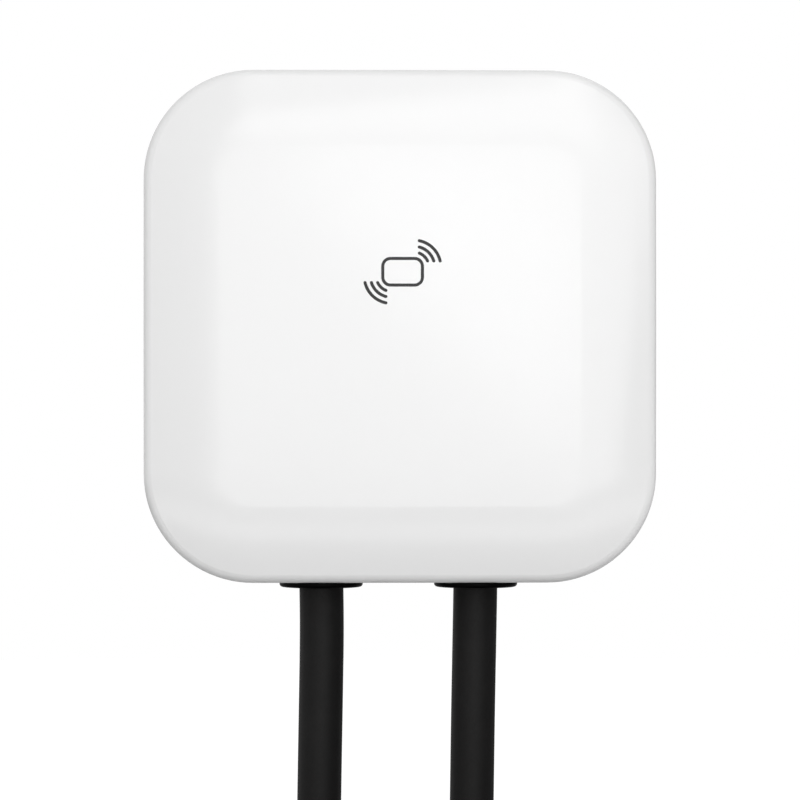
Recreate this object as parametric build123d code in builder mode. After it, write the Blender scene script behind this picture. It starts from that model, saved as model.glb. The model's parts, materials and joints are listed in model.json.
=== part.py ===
from build123d import *
import math
import os

# Wall box for charging a car, with a supply lead and a charging lead. Millimetres.
# X runs to the right, Y into the wall and Z up. The origin is the middle of the bracket's screw
# pattern, on the wall. A depth is a distance from the wall towards the viewer.

os.makedirs("parts", exist_ok=True)

# Housing
housing_width = 188.0
housing_height = 188.0
housing_depth = 75.0
corner_radius = 40.0
front_roll_width = 28.0
front_roll_radius = 100.0
edge_radius = 4.0
least_inner_edge = 1.0
rim_tolerance = 0.3
draft_angle = 1.0
cover_wall = 2.8
cover_rear = 9.0
box_gap = 0.7
box_wall = 3.0
box_front = 58.0
box_rear_edge = 1.0
web_rear = 8.0
web_thickness = 2.6

# Seal and the cover's inner ribs
seal_width = 4.0
seal_thickness = 3.5
seal_side_gap = 0.2
shelf_thickness = 3.0
lip_thickness = 1.6
lip_reach = 2.0
stiffener_thickness = 1.6
stiffener_height = 4.0
stiffener_offset = 42.0

# Pictogram
symbol_x = 0.7
symbol_z = 20.3
symbol_depth = 0.3
symbol_gap = 0.03
card_width = 15.7
card_height = 10.9
card_radius = 3.5
symbol_stroke = 1.1
wave_radii = (3.3, 5.6, 7.9)
wave_corner_x = 6.1
wave_corner_z = 3.9

# Cover screws, lugs and the locking screw
cover_screw_x = 52.0
cover_screw_depth = 30.0
cover_screw_diameter = 4.0
cover_screw_head = 7.5
cover_screw_head_height = 2.2
cover_screw_length = 12.0
screw_gap = 0.2
boss_width = 11.0
boss_height = 8.0
lug_x = 45.0
lug_width = 12.0
lug_length = 4.0
lug_height = 2.0
lug_depth = 40.0
lug_gap = 0.5
pocket_pad = 3.0
lock_screw_diameter = 4.0
lock_screw_head = 7.0
lock_screw_head_height = 2.5
lock_screw_depth = 4.8

# Wall bracket
bracket_width = 100.0
bracket_sheet = 2.5
bracket_bottom = -80.0
bracket_bend = 35.0
bracket_joggle = 4.2
bracket_top = 49.5
bracket_corner = 6.0
bracket_hole = 6.6
bracket_spacing_x = 76.0
bracket_spacing_z = 56.0
hook_width = 80.0
hook_thickness = 3.0
hook_reach = 6.5
hook_gap = 0.5

# Leads and their entries
lead_diameter = 16.5
supply_x = -29.0
charging_x = 28.9
lead_depth = 38.0
lead_gap = 0.3
tangent_share = 0.45
lead_inner_end = -70.0
collar_diameter = 31.2
collar_bottom = -96.9
collar_edge = 1.2
collar_floor = 1.7
collar_bore = 19.5
notch_gap = 0.5
neck_diameter = 25.0
neck_gap = 0.2
neck_bore = 22.4
neck_lip = 2.0
flange_across_flats = 30.0
flange_thickness = 4.0
clamp_width = 34.0
clamp_length = 8.0
clamp_bottom = -81.0
clamp_split = 2.0
clamp_bar_top = 11.0
clamp_screw_offset = 13.0
clamp_screw_diameter = 3.5
clamp_screw_head = 6.5
clamp_screw_head_height = 2.4
clamp_screw_length = 20.0

# Boards
board_thickness = 1.6
power_board_width = 144.0
power_board_height = 114.0
power_board_z = 13.0
power_board_depth = 20.0
power_hole_x = 64.0
power_hole_z = 49.0
board_boss_diameter = 9.0
board_screw_diameter = 3.0
board_screw_head = 5.6
board_screw_head_height = 2.0
board_screw_length = 8.0
control_board_width = 118.0
control_board_height = 56.0
control_board_z = 40.0
control_board_depth = 50.0
standoff_x = 54.0
standoff_z = 23.0
standoff_across_flats = 6.0
reader_board_width = 50.0
reader_board_height = 42.0
reader_board_thickness = 1.2
reader_board_depth = 66.0
reader_post_x = 20.0
reader_post_z = 16.0
reader_post_diameter = 6.0
reader_screw_diameter = 2.2
reader_screw_head = 4.2
reader_screw_head_height = 1.5
reader_screw_length = 5.0
antenna_width = 32.0
antenna_height = 24.0
antenna_track = 3.0
antenna_thickness = 0.3
ribbon_width = 10.0
ribbon_thickness = 0.6
ribbon_drop = 9.0

# Parts on the power board
pole_pitch = 10.0
terminal_x = 33.0
terminal_bottom = -40.0
terminal_height = 20.0
terminal_length = 23.4
terminal_margin = 1.0
wire_hole = 4.8
wire_hole_length = 9.0
wire_depth = 33.0
terminal_screw_diameter = 5.0
terminal_screw_length = 5.0
terminal_screw_gap = 0.2
terminal_screw_z = -30.0
pilot_terminal_width = 9.0
pilot_hole = 2.4
pilot_depth = 42.5
relay_count = 4
relay_pitch = 17.0
relay_first_x = 11.0
relay_z = -4.0
relay_width = 15.0
relay_height = 28.0
relay_length = 26.0
sensor_x = -33.0
sensor_z = -11.0
sensor_width = 40.0
sensor_height = 14.0
sensor_length = 26.0
sensor_bore = 15.0
transformer_x = -46.0
transformer_z = 38.0
transformer_width = 34.0
transformer_height = 30.0
transformer_length = 24.0
capacitor_diameter = 16.0
capacitor_length = 25.0
capacitor_x = (-13.0, 6.0)
capacitor_z = 38.0
fuse_x = -6.0
fuse_z = -4.0
fuse_diameter = 6.0
fuse_length = 22.0
arrester_count = 3
arrester_pitch = 9.0
arrester_first_x = 25.0
arrester_z = 38.0
arrester_diameter = 14.0
arrester_thickness = 4.5
header_x = -30.0
header_z = 60.0
header_width = 26.0
header_height = 6.0

# Cores
core_diameter = 4.2
core_circle = 4.6
core_bend = 4.0
pilot_core_diameter = 1.8
pilot_circle = 5.6

# Free stretches of the leads, their coils and tails. The routes are chosen points.
floor_z = -287.0
coil_gap = 1.8
coil_trim = 1.0
coil_layers = 2
coil_edge = 6.0
tie_thickness = 1.5
tie_gap = 0.2
tie_arc = 12.0
coil_depth = 30.0
charging_coil_x = 150.0
charging_coil_outer = 116.8
charging_coil_inner = 67.3
charging_coil_y = -coil_depth - charging_coil_outer
charging_tie_side = -1
supply_coil_x = -150.3
supply_coil_outer = 98.3
supply_coil_inner = 81.8
supply_coil_y = -coil_depth - supply_coil_outer
supply_tie_side = 1
charging_route = [
    (charging_x, -lead_depth, lead_inner_end),
    (charging_x, -lead_depth, -90.0),
    (28.3, -lead_depth, -118.0),
    (27.2, -lead_depth, -205.0),
    (54.2, -35.0, -251.7),
    (99.5, -coil_depth, -278.7),
    (charging_coil_x, -coil_depth, -278.75),
]
supply_route = [
    (supply_x, -lead_depth, lead_inner_end),
    (supply_x, -lead_depth, -92.0),
    (-29.1, -lead_depth, -120.0),
    (-29.8, -lead_depth, -205.0),
    (-56.5, -35.0, -252.2),
    (-101.5, -coil_depth, -278.7),
    (supply_coil_x, -coil_depth, -278.75),
]
charging_tail_route = [
    (130.4, -coil_depth, -262.0),
    (169.6, -coil_depth, -261.9),
    (205.4, -45.6, -257.0),
    (232.1, -74.2, -250.5),
    (245.1, -111.1, -246.0),
    (242.4, -150.1, -245.3),
    (224.4, -184.7, -244.0),
    (194.0, -209.4, -241.0),
    (156.3, -219.8, -237.8),
    (107.2, -212.9, -235.2),
]
supply_tail_route = [
    (-248.6, -128.3, -262.3),
    (-248.6, -168.3, -263.5),
    (-233.3, -205.3, -268.0),
    (-205.0, -233.6, -275.0),
    (-168.0, -248.9, -278.5),
    (-128.0, -248.9, -278.7),
]
bare_core_length = 46.0
ferrule_diameter = 3.0
ferrule_length = 12.0
ferrule_seat = 2.0

# Connector for the car, lying on both coils with its nose towards -X
connector_tail = (117.1, -214.3, -235.7)
connector_tilt = 3.0
connector_heading = 8.0
connector_boot_length = 46.0
connector_boot_tip = 11.0
connector_boot_root = 15.5
connector_shell_start = 40.0
connector_collar_start = 150.0
connector_collar_end = 163.0
connector_collar_radius = 35.0
connector_tail_radius = 19.0
connector_grip_start = 75.0
connector_grip_end = 110.0
connector_neck_start = 138.0
connector_grip_radius = 21.5
connector_neck_radius = 26.0
connector_shell_wall = 3.0
connector_split_gap = 0.1
insert_radius = 27.5
insert_flat = 20.5
insert_start = 140.0
insert_end = 212.0
insert_gap = 0.3
contact_ring = 16.5
contact_angles = (-150, -90, -30, 180, 0)
contact_gap = 0.032
signal_gap = 0.02
contact_outer = 4.2
contact_bore = 2.8
contact_entry = 3.2
contact_entry_depth = 3.0
contact_length = 30.0
signal_outer = 2.4
signal_bore = 1.6
signal_entry = 2.0
signal_x = 8.0
signal_y = 11.0


# Planes and outlines shared by the pieces


def front_plane(depth):
    """Plane at a depth, facing the viewer, with Z up."""
    return Plane.XZ.offset(depth)


def level_plane(height):
    """Level plane at a height, facing up."""
    return Plane.XY.offset(height)


def housing_outline(inset):
    """Rounded square of the housing, moved in by inset."""
    return RectangleRounded(
        housing_width - 2 * inset,
        housing_height - 2 * inset,
        corner_radius - inset,
    )


def housing_ring(outer_inset, inner_inset):
    """Band between two insets of the housing's outline."""
    with BuildSketch(mode=Mode.PRIVATE) as ring:
        housing_outline(outer_inset)
        RectangleRounded(
            housing_width - 2 * inner_inset,
            housing_height - 2 * inner_inset,
            corner_radius - inner_inset,
            mode=Mode.SUBTRACT,
        )
    return ring.sketch


def write_part(builder, name):
    """Label a finished piece and write it."""
    builder.part.label = name
    export_step(builder.part, f"parts/{name}.step")


box_inset = cover_wall + box_gap
box_half = housing_height / 2 - box_inset
box_inner_half = box_half - box_wall
web_front = web_rear + web_thickness
skirt_bottom = -housing_height / 2
front_inner = housing_depth - cover_wall


# Front cover: flat face, soft roll towards the outline, tight edge, drafted sides


def roll_edge_depth(inset):
    """Depth at which the front's roll meets the sides."""
    roll = front_roll_radius - inset
    reach = front_roll_width - inset
    return housing_depth - inset - roll + math.sqrt(roll**2 - reach**2)


def side_flare(depth, inset=0):
    """How much wider than the outline the drafted sides are at a depth."""
    return (roll_edge_depth(inset) - depth) * math.tan(math.radians(draft_angle))


def housing_form(inset):
    """Solid within the cover's outer surface, moved in by inset on every side."""
    roll = front_roll_radius - inset
    reach = front_roll_width - inset
    front = housing_depth - inset
    edge_depth = roll_edge_depth(inset)
    flare = side_flare(cover_rear, inset)
    overshoot = 3.0
    end = reach + overshoot
    end_drop = roll - math.sqrt(roll**2 - end**2)
    middle_drop = roll - math.sqrt(roll**2 - (end / 2) ** 2)
    half_width = housing_width / 2 - inset
    half_height = housing_height / 2 - inset

    with BuildLine(front_plane(front)) as outline:
        FilletPolyline(
            (-half_width, -half_height),
            (half_width, -half_height),
            (half_width, half_height),
            (-half_width, half_height),
            radius=corner_radius - inset,
            close=True,
        )
    path = outline.wires()[0]
    start = path @ 0
    along = path % 0
    outward = along.cross(Vector(0, -1, 0))
    if outward.dot(Vector(start.X, 0, start.Z)) < 0:
        outward = -outward
    toward_wall = Vector(0, 1, 0)

    with BuildSketch(Plane(origin=start, x_dir=outward, z_dir=outward.cross(toward_wall))) as roll_off:
        with BuildLine():
            ThreePointArc((-reach, 0), (-reach + end / 2, middle_drop), (overshoot, end_drop))
            Polyline((overshoot, end_drop), (overshoot, -overshoot), (-reach, -overshoot), (-reach, 0))
        make_face()

    with BuildPart() as form:
        with BuildSketch(front_plane(cover_rear)):
            housing_outline(inset - flare)
        extrude(amount=front - cover_rear, taper=draft_angle)
        sweep(sections=roll_off.sketch, path=path, mode=Mode.SUBTRACT)
        rim = form.edges().filter_by(lambda edge: abs(edge.center().Y + edge_depth) < rim_tolerance)
        fillet(rim, radius=max(edge_radius - inset, least_inner_edge))
    return form.part


cover_screw_foot = skirt_bottom - side_flare(cover_screw_depth) + screw_gap
outer_form = housing_form(0)
inner_form = housing_form(cover_wall)
rib_form = housing_form(cover_wall / 2)

seal_outer_inset = cover_wall + seal_side_gap
seal_inner_inset = seal_outer_inset + seal_width
lip_outer_inset = seal_inner_inset + seal_side_gap
shelf_depth = box_front + seal_thickness
reader_front = reader_board_depth + reader_board_thickness

with BuildPart() as cover_ribs:
    with BuildSketch(front_plane(shelf_depth)):
        add(housing_ring(cover_wall / 2, lip_outer_inset + lip_thickness))
    extrude(amount=shelf_thickness)
    with BuildSketch(front_plane(box_front + lip_reach)):
        add(housing_ring(lip_outer_inset, lip_outer_inset + lip_thickness))
    extrude(amount=housing_depth - box_front - lip_reach)
    with BuildSketch(front_plane(front_inner - stiffener_height)):
        for side in (-1, 1):
            with Locations((side * stiffener_offset, 0)):
                Rectangle(stiffener_thickness, housing_height)
            with Locations((0, side * stiffener_offset)):
                Rectangle(housing_width, stiffener_thickness)
        add(housing_ring(0, lip_outer_inset), mode=Mode.SUBTRACT)
    extrude(amount=stiffener_height + cover_wall / 2)
    with BuildSketch(front_plane(reader_front)):
        with Locations((symbol_x, symbol_z)):
            with GridLocations(2 * reader_post_x, 2 * reader_post_z, 2, 2):
                Circle(reader_post_diameter / 2)
    extrude(amount=housing_depth - cover_wall / 2 - reader_front)
    add(rib_form, mode=Mode.INTERSECT)


def symbol_marks(grow):
    """Card outline and three waves at two of its corners, each grown by a small amount."""
    stroke = symbol_stroke + 2 * grow
    with BuildSketch(mode=Mode.PRIVATE) as marks:
        RectangleRounded(card_width + 2 * grow, card_height + 2 * grow, card_radius + grow)
        RectangleRounded(
            card_width - 2 * symbol_stroke - 2 * grow,
            card_height - 2 * symbol_stroke - 2 * grow,
            card_radius - symbol_stroke - grow,
            mode=Mode.SUBTRACT,
        )
        for turn, side in ((0, 1), (180, -1)):
            corner = (side * wave_corner_x, side * wave_corner_z)
            for radius in wave_radii:
                with BuildLine() as wave:
                    CenterArc(corner, radius, turn, 90)
                trace(wave.line, line_width=stroke)
                with Locations(wave.line @ 0, wave.line @ 1):
                    Circle(stroke / 2)
    return marks.sketch


with BuildPart() as front_cover:
    add(outer_form)
    add(inner_form, mode=Mode.SUBTRACT)
    add(cover_ribs.part)
    # Shallow pockets of the pictogram
    with BuildSketch(front_plane(housing_depth - symbol_depth)):
        with Locations((symbol_x, symbol_z)):
            add(symbol_marks(symbol_gap))
    extrude(amount=symbol_depth + symbol_gap, mode=Mode.SUBTRACT)
    # Pilot holes of the reader board's posts
    with BuildSketch(front_plane(reader_front)):
        with Locations((symbol_x, symbol_z)):
            with GridLocations(2 * reader_post_x, 2 * reader_post_z, 2, 2):
                Circle(reader_screw_diameter / 2 + screw_gap / 2)
    extrude(amount=reader_screw_length - reader_board_thickness, mode=Mode.SUBTRACT)
    # Notches that pass over the collars, open towards the wall
    with BuildSketch(level_plane(skirt_bottom - box_inset)):
        for lead_x in (supply_x, charging_x):
            with Locations((lead_x, -lead_depth)):
                Circle(collar_diameter / 2 + notch_gap)
            with Locations((lead_x, -lead_depth / 2)):
                Rectangle(collar_diameter + 2 * notch_gap, lead_depth)
    extrude(amount=2 * box_inset, mode=Mode.SUBTRACT)
    # Countersunk holes of the cover screws
    with Locations(
        Location((-cover_screw_x, -cover_screw_depth, cover_screw_foot), (180, 0, 0)),
        Location((cover_screw_x, -cover_screw_depth, cover_screw_foot), (180, 0, 0)),
    ):
        CounterSinkHole(
            radius=cover_screw_diameter / 2 + screw_gap,
            counter_sink_radius=cover_screw_head / 2 + screw_gap,
            depth=box_inset,
            counter_sink_angle=90,
        )
    # Lugs that snap into the box's top wall
    for side in (-1, 1):
        with BuildSketch(level_plane(box_half - lug_height)):
            with Locations((side * lug_x, -lug_depth - lug_length / 2)):
                Rectangle(lug_width, lug_length)
        extrude(amount=lug_height + box_gap + cover_wall / 2)
write_part(front_cover, "front_cover")

with BuildPart() as card_symbol:
    with BuildSketch(front_plane(housing_depth - symbol_depth)):
        with Locations((symbol_x, symbol_z)):
            add(symbol_marks(0))
    extrude(amount=symbol_depth)
write_part(card_symbol, "card_symbol")

with BuildPart() as cover_seal:
    with BuildSketch(front_plane(box_front)):
        add(housing_ring(seal_outer_inset, seal_inner_inset))
    extrude(amount=seal_thickness)
write_part(cover_seal, "cover_seal")


# Back box: side walls round a web, with a shallow rear cavity for the bracket


def entry_places():
    """Middle of each lead's entry on a level plane."""
    return Locations((supply_x, -lead_depth), (charging_x, -lead_depth))


def power_board_places():
    """Screw places of the power board on a front plane."""
    return [
        (side_x * power_hole_x, power_board_z + side_z * power_hole_z)
        for side_x in (-1, 1)
        for side_z in (-1, 1)
    ]


clamp_bed = lead_depth - clamp_split
clamp_top = clamp_bottom + clamp_length
hook_bottom = bracket_top - hook_reach
hook_rear = hook_gap
board_front = power_board_depth + board_thickness

with BuildPart() as back_box:
    with BuildSketch(front_plane(0)):
        housing_outline(box_inset)
    extrude(amount=box_front)
    fillet(back_box.faces().sort_by(Axis.Y)[-1].edges(), radius=box_rear_edge)
    with BuildSketch(front_plane(0)):
        housing_outline(box_inset + box_wall)
    extrude(amount=web_rear, mode=Mode.SUBTRACT)
    with BuildSketch(front_plane(web_front)):
        housing_outline(box_inset + box_wall)
    extrude(amount=box_front - web_front, mode=Mode.SUBTRACT)
    # Bosses of the power board
    with BuildSketch(front_plane(web_front)):
        with Locations(*power_board_places()):
            Circle(board_boss_diameter / 2)
    extrude(amount=power_board_depth - web_front)
    with BuildSketch(front_plane(power_board_depth)):
        with Locations(*power_board_places()):
            Circle(board_screw_diameter / 2 + screw_gap / 2)
    extrude(amount=-(board_screw_length - board_thickness + screw_gap), mode=Mode.SUBTRACT)
    # Pedestals under the leads
    with BuildSketch(level_plane(clamp_bottom)):
        for lead_x in (supply_x, charging_x):
            with Locations((lead_x, -(web_rear + clamp_bed) / 2)):
                Rectangle(clamp_width, clamp_bed - web_rear)
        with entry_places():
            Circle(lead_diameter / 2 + lead_gap, mode=Mode.SUBTRACT)
    extrude(amount=clamp_length)
    with BuildSketch(front_plane(clamp_bed)):
        for lead_x in (supply_x, charging_x):
            with Locations((lead_x, (clamp_bottom + clamp_top) / 2)):
                with GridLocations(2 * clamp_screw_offset, 0, 2, 1):
                    Circle(clamp_screw_diameter / 2 + screw_gap / 2)
    extrude(amount=-(clamp_screw_length - clamp_bar_top), mode=Mode.SUBTRACT)
    # Pads inside the bottom wall for the cover screws, and inside the top wall for the lugs
    with BuildSketch(level_plane(-box_inner_half - box_wall / 2)):
        with GridLocations(2 * cover_screw_x, 0, 2, 1):
            with Locations((0, -cover_screw_depth)):
                Rectangle(boss_width, boss_width)
    extrude(amount=boss_height + box_wall / 2)
    with BuildSketch(level_plane(box_inner_half - pocket_pad)):
        with GridLocations(2 * lug_x, 0, 2, 1):
            with Locations((0, -lug_depth - lug_length / 2)):
                Rectangle(lug_width + 2 * pocket_pad, lug_length + 2 * pocket_pad)
    extrude(amount=pocket_pad + box_wall / 2)
    # Pockets of the lugs
    with BuildSketch(level_plane(box_half - lug_height - lug_gap)):
        with GridLocations(2 * lug_x, 0, 2, 1):
            with Locations((0, -lug_depth - lug_length / 2)):
                Rectangle(lug_width + 2 * lug_gap, lug_length + 2 * lug_gap)
    extrude(amount=lug_height + 2 * lug_gap, mode=Mode.SUBTRACT)
    # Holes in the bottom wall: glands, cover screws, locking screw
    with BuildSketch(level_plane(-box_half - box_gap)):
        with entry_places():
            Circle(neck_diameter / 2 + neck_gap)
        with Locations((0, -lock_screw_depth)):
            Circle(lock_screw_diameter / 2 + screw_gap)
    extrude(amount=box_wall + 2 * box_gap, mode=Mode.SUBTRACT)
    with BuildSketch(level_plane(-box_half - box_gap)):
        with Locations((-cover_screw_x, -cover_screw_depth), (cover_screw_x, -cover_screw_depth)):
            Circle(cover_screw_diameter / 2 + screw_gap / 2)
    extrude(amount=cover_screw_length, mode=Mode.SUBTRACT)
    # Hook that hangs over the bracket's upper lip
    with BuildSketch(Plane.YZ.offset(-hook_width / 2)):
        with BuildLine():
            Polyline(
                (-hook_rear, hook_bottom),
                (-hook_rear - hook_thickness, hook_bottom),
                (-hook_rear - hook_thickness, bracket_top + hook_gap),
                (-web_rear - web_thickness / 2, bracket_top + hook_gap),
                (-web_rear - web_thickness / 2, bracket_top + hook_gap + hook_thickness),
                (-hook_rear, bracket_top + hook_gap + hook_thickness),
                close=True,
            )
        make_face()
    extrude(amount=hook_width)
write_part(back_box, "back_box")

# Wall bracket: one folded sheet, hung behind the box's hook and locked from below

lip_front = bracket_joggle + bracket_sheet
flange_front = web_rear - box_gap

with BuildPart() as wall_bracket:
    with BuildSketch(Plane.YZ.offset(-bracket_width / 2)):
        with BuildLine():
            Polyline(
                (0, bracket_bottom),
                (0, bracket_bend),
                (-bracket_joggle, bracket_bend + bracket_joggle),
                (-bracket_joggle, bracket_top),
                (-lip_front, bracket_top),
                (-lip_front, bracket_bend + bracket_joggle - bracket_sheet / 2),
                (-bracket_sheet, bracket_bend - bracket_sheet / 2),
                (-bracket_sheet, bracket_bottom + bracket_sheet),
                (-flange_front, bracket_bottom + bracket_sheet),
                (-flange_front, bracket_bottom),
                close=True,
            )
        make_face()
    extrude(amount=bracket_width)
    corners = wall_bracket.edges().filter_by(Axis.Y).group_by(Axis.Z)[-1]
    fillet(corners, radius=bracket_corner)
    with Locations(front_plane(bracket_sheet)):
        with GridLocations(bracket_spacing_x, bracket_spacing_z, 2, 2):
            Hole(bracket_hole / 2, depth=bracket_sheet)
    with BuildSketch(level_plane(bracket_bottom)):
        with Locations((0, -lock_screw_depth)):
            Circle(lock_screw_diameter / 2 + screw_gap / 2)
    extrude(amount=bracket_sheet, mode=Mode.SUBTRACT)
write_part(wall_bracket, "wall_bracket")

with BuildPart() as lock_screw:
    with BuildSketch(level_plane(-box_half - lock_screw_head_height)):
        with Locations((0, -lock_screw_depth)):
            Circle(lock_screw_head / 2)
            RegularPolygon(lock_screw_head / 4, 6, mode=Mode.SUBTRACT)
    extrude(amount=lock_screw_head_height)
    with BuildSketch(level_plane(-box_half - lock_screw_head_height / 2)):
        with Locations((0, -lock_screw_depth)):
            Circle(lock_screw_diameter / 2)
    extrude(amount=box_half + lock_screw_head_height / 2 + bracket_bottom + bracket_sheet)
write_part(lock_screw, "lock_screw")

with BuildPart() as cover_screws:
    for side in (-1, 1):
        with BuildSketch(
            Plane(
                origin=(side * cover_screw_x, -cover_screw_depth, cover_screw_foot),
                x_dir=(1, 0, 0),
                z_dir=(0, -1, 0),
            )
        ):
            with BuildLine():
                Polyline(
                    (0, 0),
                    (cover_screw_head / 2, 0),
                    (cover_screw_diameter / 2, (cover_screw_head - cover_screw_diameter) / 2),
                    (cover_screw_diameter / 2, cover_screw_length),
                    (0, cover_screw_length),
                    close=True,
                )
            make_face()
        revolve(axis=Axis((side * cover_screw_x, -cover_screw_depth, 0), (0, 0, 1)))
    with BuildSketch(level_plane(cover_screw_foot)):
        with Locations((-cover_screw_x, -cover_screw_depth), (cover_screw_x, -cover_screw_depth)):
            RegularPolygon(cover_screw_head / 4, 6)
    extrude(amount=cover_screw_head_height / 2, mode=Mode.SUBTRACT)
write_part(cover_screws, "cover_screws")

# Lead entries: collar outside, body through the wall, rubber sleeve between body and lead

neck_bottom = collar_bottom + collar_floor
flange_bottom = -box_inner_half

for name, lead_x in (("supply", supply_x), ("charging", charging_x)):
    with BuildPart() as gland_collar:
        with BuildSketch(level_plane(collar_bottom)):
            with Locations((lead_x, -lead_depth)):
                Circle(collar_diameter / 2)
        extrude(amount=-box_half - collar_bottom)
        fillet(gland_collar.edges().group_by(Axis.Z)[0], radius=collar_edge)
        with BuildSketch(level_plane(neck_bottom)):
            with Locations((lead_x, -lead_depth)):
                Circle(neck_diameter / 2 + neck_gap)
        extrude(amount=-box_half - neck_bottom, mode=Mode.SUBTRACT)
        with BuildSketch(level_plane(collar_bottom)):
            with Locations((lead_x, -lead_depth)):
                Circle(collar_bore / 2)
        extrude(amount=collar_floor, mode=Mode.SUBTRACT)
        fillet(gland_collar.edges().group_by(Axis.Z)[0].sort_by(SortBy.LENGTH)[0], radius=collar_edge / 2)
    write_part(gland_collar, f"{name}_gland_collar")

    with BuildPart() as gland_body:
        with BuildSketch(level_plane(neck_bottom + neck_gap)):
            with Locations((lead_x, -lead_depth)):
                Circle(neck_diameter / 2)
        extrude(amount=flange_bottom - neck_bottom - neck_gap)
        with BuildSketch(level_plane(flange_bottom)):
            with Locations((lead_x, -lead_depth)):
                RegularPolygon(flange_across_flats / 2, 6, major_radius=False, rotation=30)
        extrude(amount=flange_thickness)
        with BuildSketch(level_plane(neck_bottom + neck_gap)):
            with Locations((lead_x, -lead_depth)):
                Circle(neck_bore / 2)
        extrude(
            amount=flange_bottom + flange_thickness - neck_lip - neck_bottom - neck_gap,
            mode=Mode.SUBTRACT,
        )
        with BuildSketch(level_plane(flange_bottom)):
            with Locations((lead_x, -lead_depth)):
                Circle(lead_diameter / 2 + lead_gap)
        extrude(amount=flange_thickness, mode=Mode.SUBTRACT)
    write_part(gland_body, f"{name}_gland_body")

    with BuildPart() as gland_sleeve:
        with BuildSketch(level_plane(neck_bottom)):
            with Locations((lead_x, -lead_depth)):
                Circle(neck_bore / 2 - neck_gap)
                Circle(lead_diameter / 2 + lead_gap, mode=Mode.SUBTRACT)
        extrude(amount=flange_bottom + flange_thickness - neck_lip - neck_bottom)
    write_part(gland_sleeve, f"{name}_gland_sleeve")

    with BuildPart() as strain_clamp:
        with BuildSketch(level_plane(clamp_bottom)):
            with Locations((lead_x, -(lead_depth + clamp_split + lead_depth + clamp_bar_top) / 2)):
                Rectangle(clamp_width, clamp_bar_top - clamp_split)
            with Locations((lead_x, -lead_depth)):
                Circle(lead_diameter / 2 + lead_gap, mode=Mode.SUBTRACT)
        extrude(amount=clamp_length)
        fillet(strain_clamp.edges().filter_by(Axis.Z).group_by(Axis.Y)[0], radius=clamp_split)
        with BuildSketch(front_plane(lead_depth + clamp_split)):
            with Locations((lead_x, (clamp_bottom + clamp_top) / 2)):
                with GridLocations(2 * clamp_screw_offset, 0, 2, 1):
                    Circle(clamp_screw_diameter / 2 + screw_gap)
        extrude(amount=clamp_bar_top, mode=Mode.SUBTRACT)
    write_part(strain_clamp, f"{name}_strain_clamp")


def pan_screw(plane, places, diameter, head, head_height, length):
    """Pan head screws on a plane: heads stand on it, shanks go behind it."""
    with BuildPart(mode=Mode.PRIVATE) as screws:
        with BuildSketch(plane):
            with Locations(*places):
                Circle(head / 2)
        extrude(amount=head_height)
        head_faces = screws.faces().filter_by(Plane.XZ).sort_by(Axis.Y)[0 : len(places)]
        fillet(head_faces.edges(), radius=head_height / 3)
        with BuildSketch(plane.offset(head_height)):
            with Locations(*places):
                RegularPolygon(head / 5, 6)
        extrude(amount=-head_height / 2, mode=Mode.SUBTRACT)
        with BuildSketch(plane):
            with Locations(*places):
                Circle(diameter / 2)
        extrude(amount=-length)
    return screws.part


with BuildPart() as clamp_screws:
    add(
        pan_screw(
            front_plane(lead_depth + clamp_bar_top),
            [
                (lead_x + side * clamp_screw_offset, (clamp_bottom + clamp_top) / 2)
                for lead_x in (supply_x, charging_x)
                for side in (-1, 1)
            ],
            clamp_screw_diameter,
            clamp_screw_head,
            clamp_screw_head_height,
            clamp_screw_length - clamp_split,
        )
    )
write_part(clamp_screws, "clamp_screws")

# Boards

with BuildPart() as power_board:
    with BuildSketch(front_plane(power_board_depth)):
        with Locations((0, power_board_z)):
            RectangleRounded(power_board_width, power_board_height, edge_radius)
        with Locations(*power_board_places()):
            Circle(board_screw_diameter / 2 + screw_gap, mode=Mode.SUBTRACT)
    extrude(amount=board_thickness)
    # Slot that keeps mains and low voltage apart
    with BuildSketch(front_plane(power_board_depth)):
        with Locations((0, capacitor_z + capacitor_diameter)):
            SlotOverall(power_board_width / 3, board_thickness)
    extrude(amount=board_thickness, mode=Mode.SUBTRACT)
write_part(power_board, "power_board")

with BuildPart() as board_screws:
    add(
        pan_screw(
            front_plane(board_front),
            power_board_places(),
            board_screw_diameter,
            board_screw_head,
            board_screw_head_height,
            board_screw_length,
        )
    )
write_part(board_screws, "board_screws")

standoff_places = [
    (side_x * standoff_x, control_board_z + side_z * standoff_z) for side_x in (-1, 1) for side_z in (-1, 1)
]

with BuildPart() as board_standoffs:
    with BuildSketch(front_plane(board_front)):
        with Locations(*standoff_places):
            RegularPolygon(standoff_across_flats / 2, 6, major_radius=False)
    extrude(amount=control_board_depth - board_front)
write_part(board_standoffs, "board_standoffs")

chip_height = 3.0
processor_side = 15.0
radio_width = 27.0
radio_height = 18.0
reader_chip_side = 9.0
module_height = 4.0
socket_height = 6.5
socket_width = 14.0
socket_z = control_board_z - control_board_height / 2 + header_height / 2

with BuildPart() as control_board:
    with BuildSketch(front_plane(control_board_depth)):
        with Locations((0, control_board_z)):
            RectangleRounded(control_board_width, control_board_height, edge_radius)
    extrude(amount=board_thickness)
    with BuildSketch(front_plane(control_board_depth + board_thickness)):
        with Locations((-control_board_width / 4, control_board_z)):
            Rectangle(processor_side, processor_side)
    extrude(amount=chip_height)
    with BuildSketch(front_plane(control_board_depth + board_thickness)):
        with Locations((control_board_width / 4, control_board_z)):
            Rectangle(radio_width, radio_height)
    extrude(amount=module_height)
    with BuildSketch(front_plane(control_board_depth + board_thickness)):
        with Locations((symbol_x, socket_z)):
            Rectangle(socket_width, chip_height)
    extrude(amount=socket_height)
write_part(control_board, "control_board")

reader_socket_z = socket_z
reader_socket_height = 5.5

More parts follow.
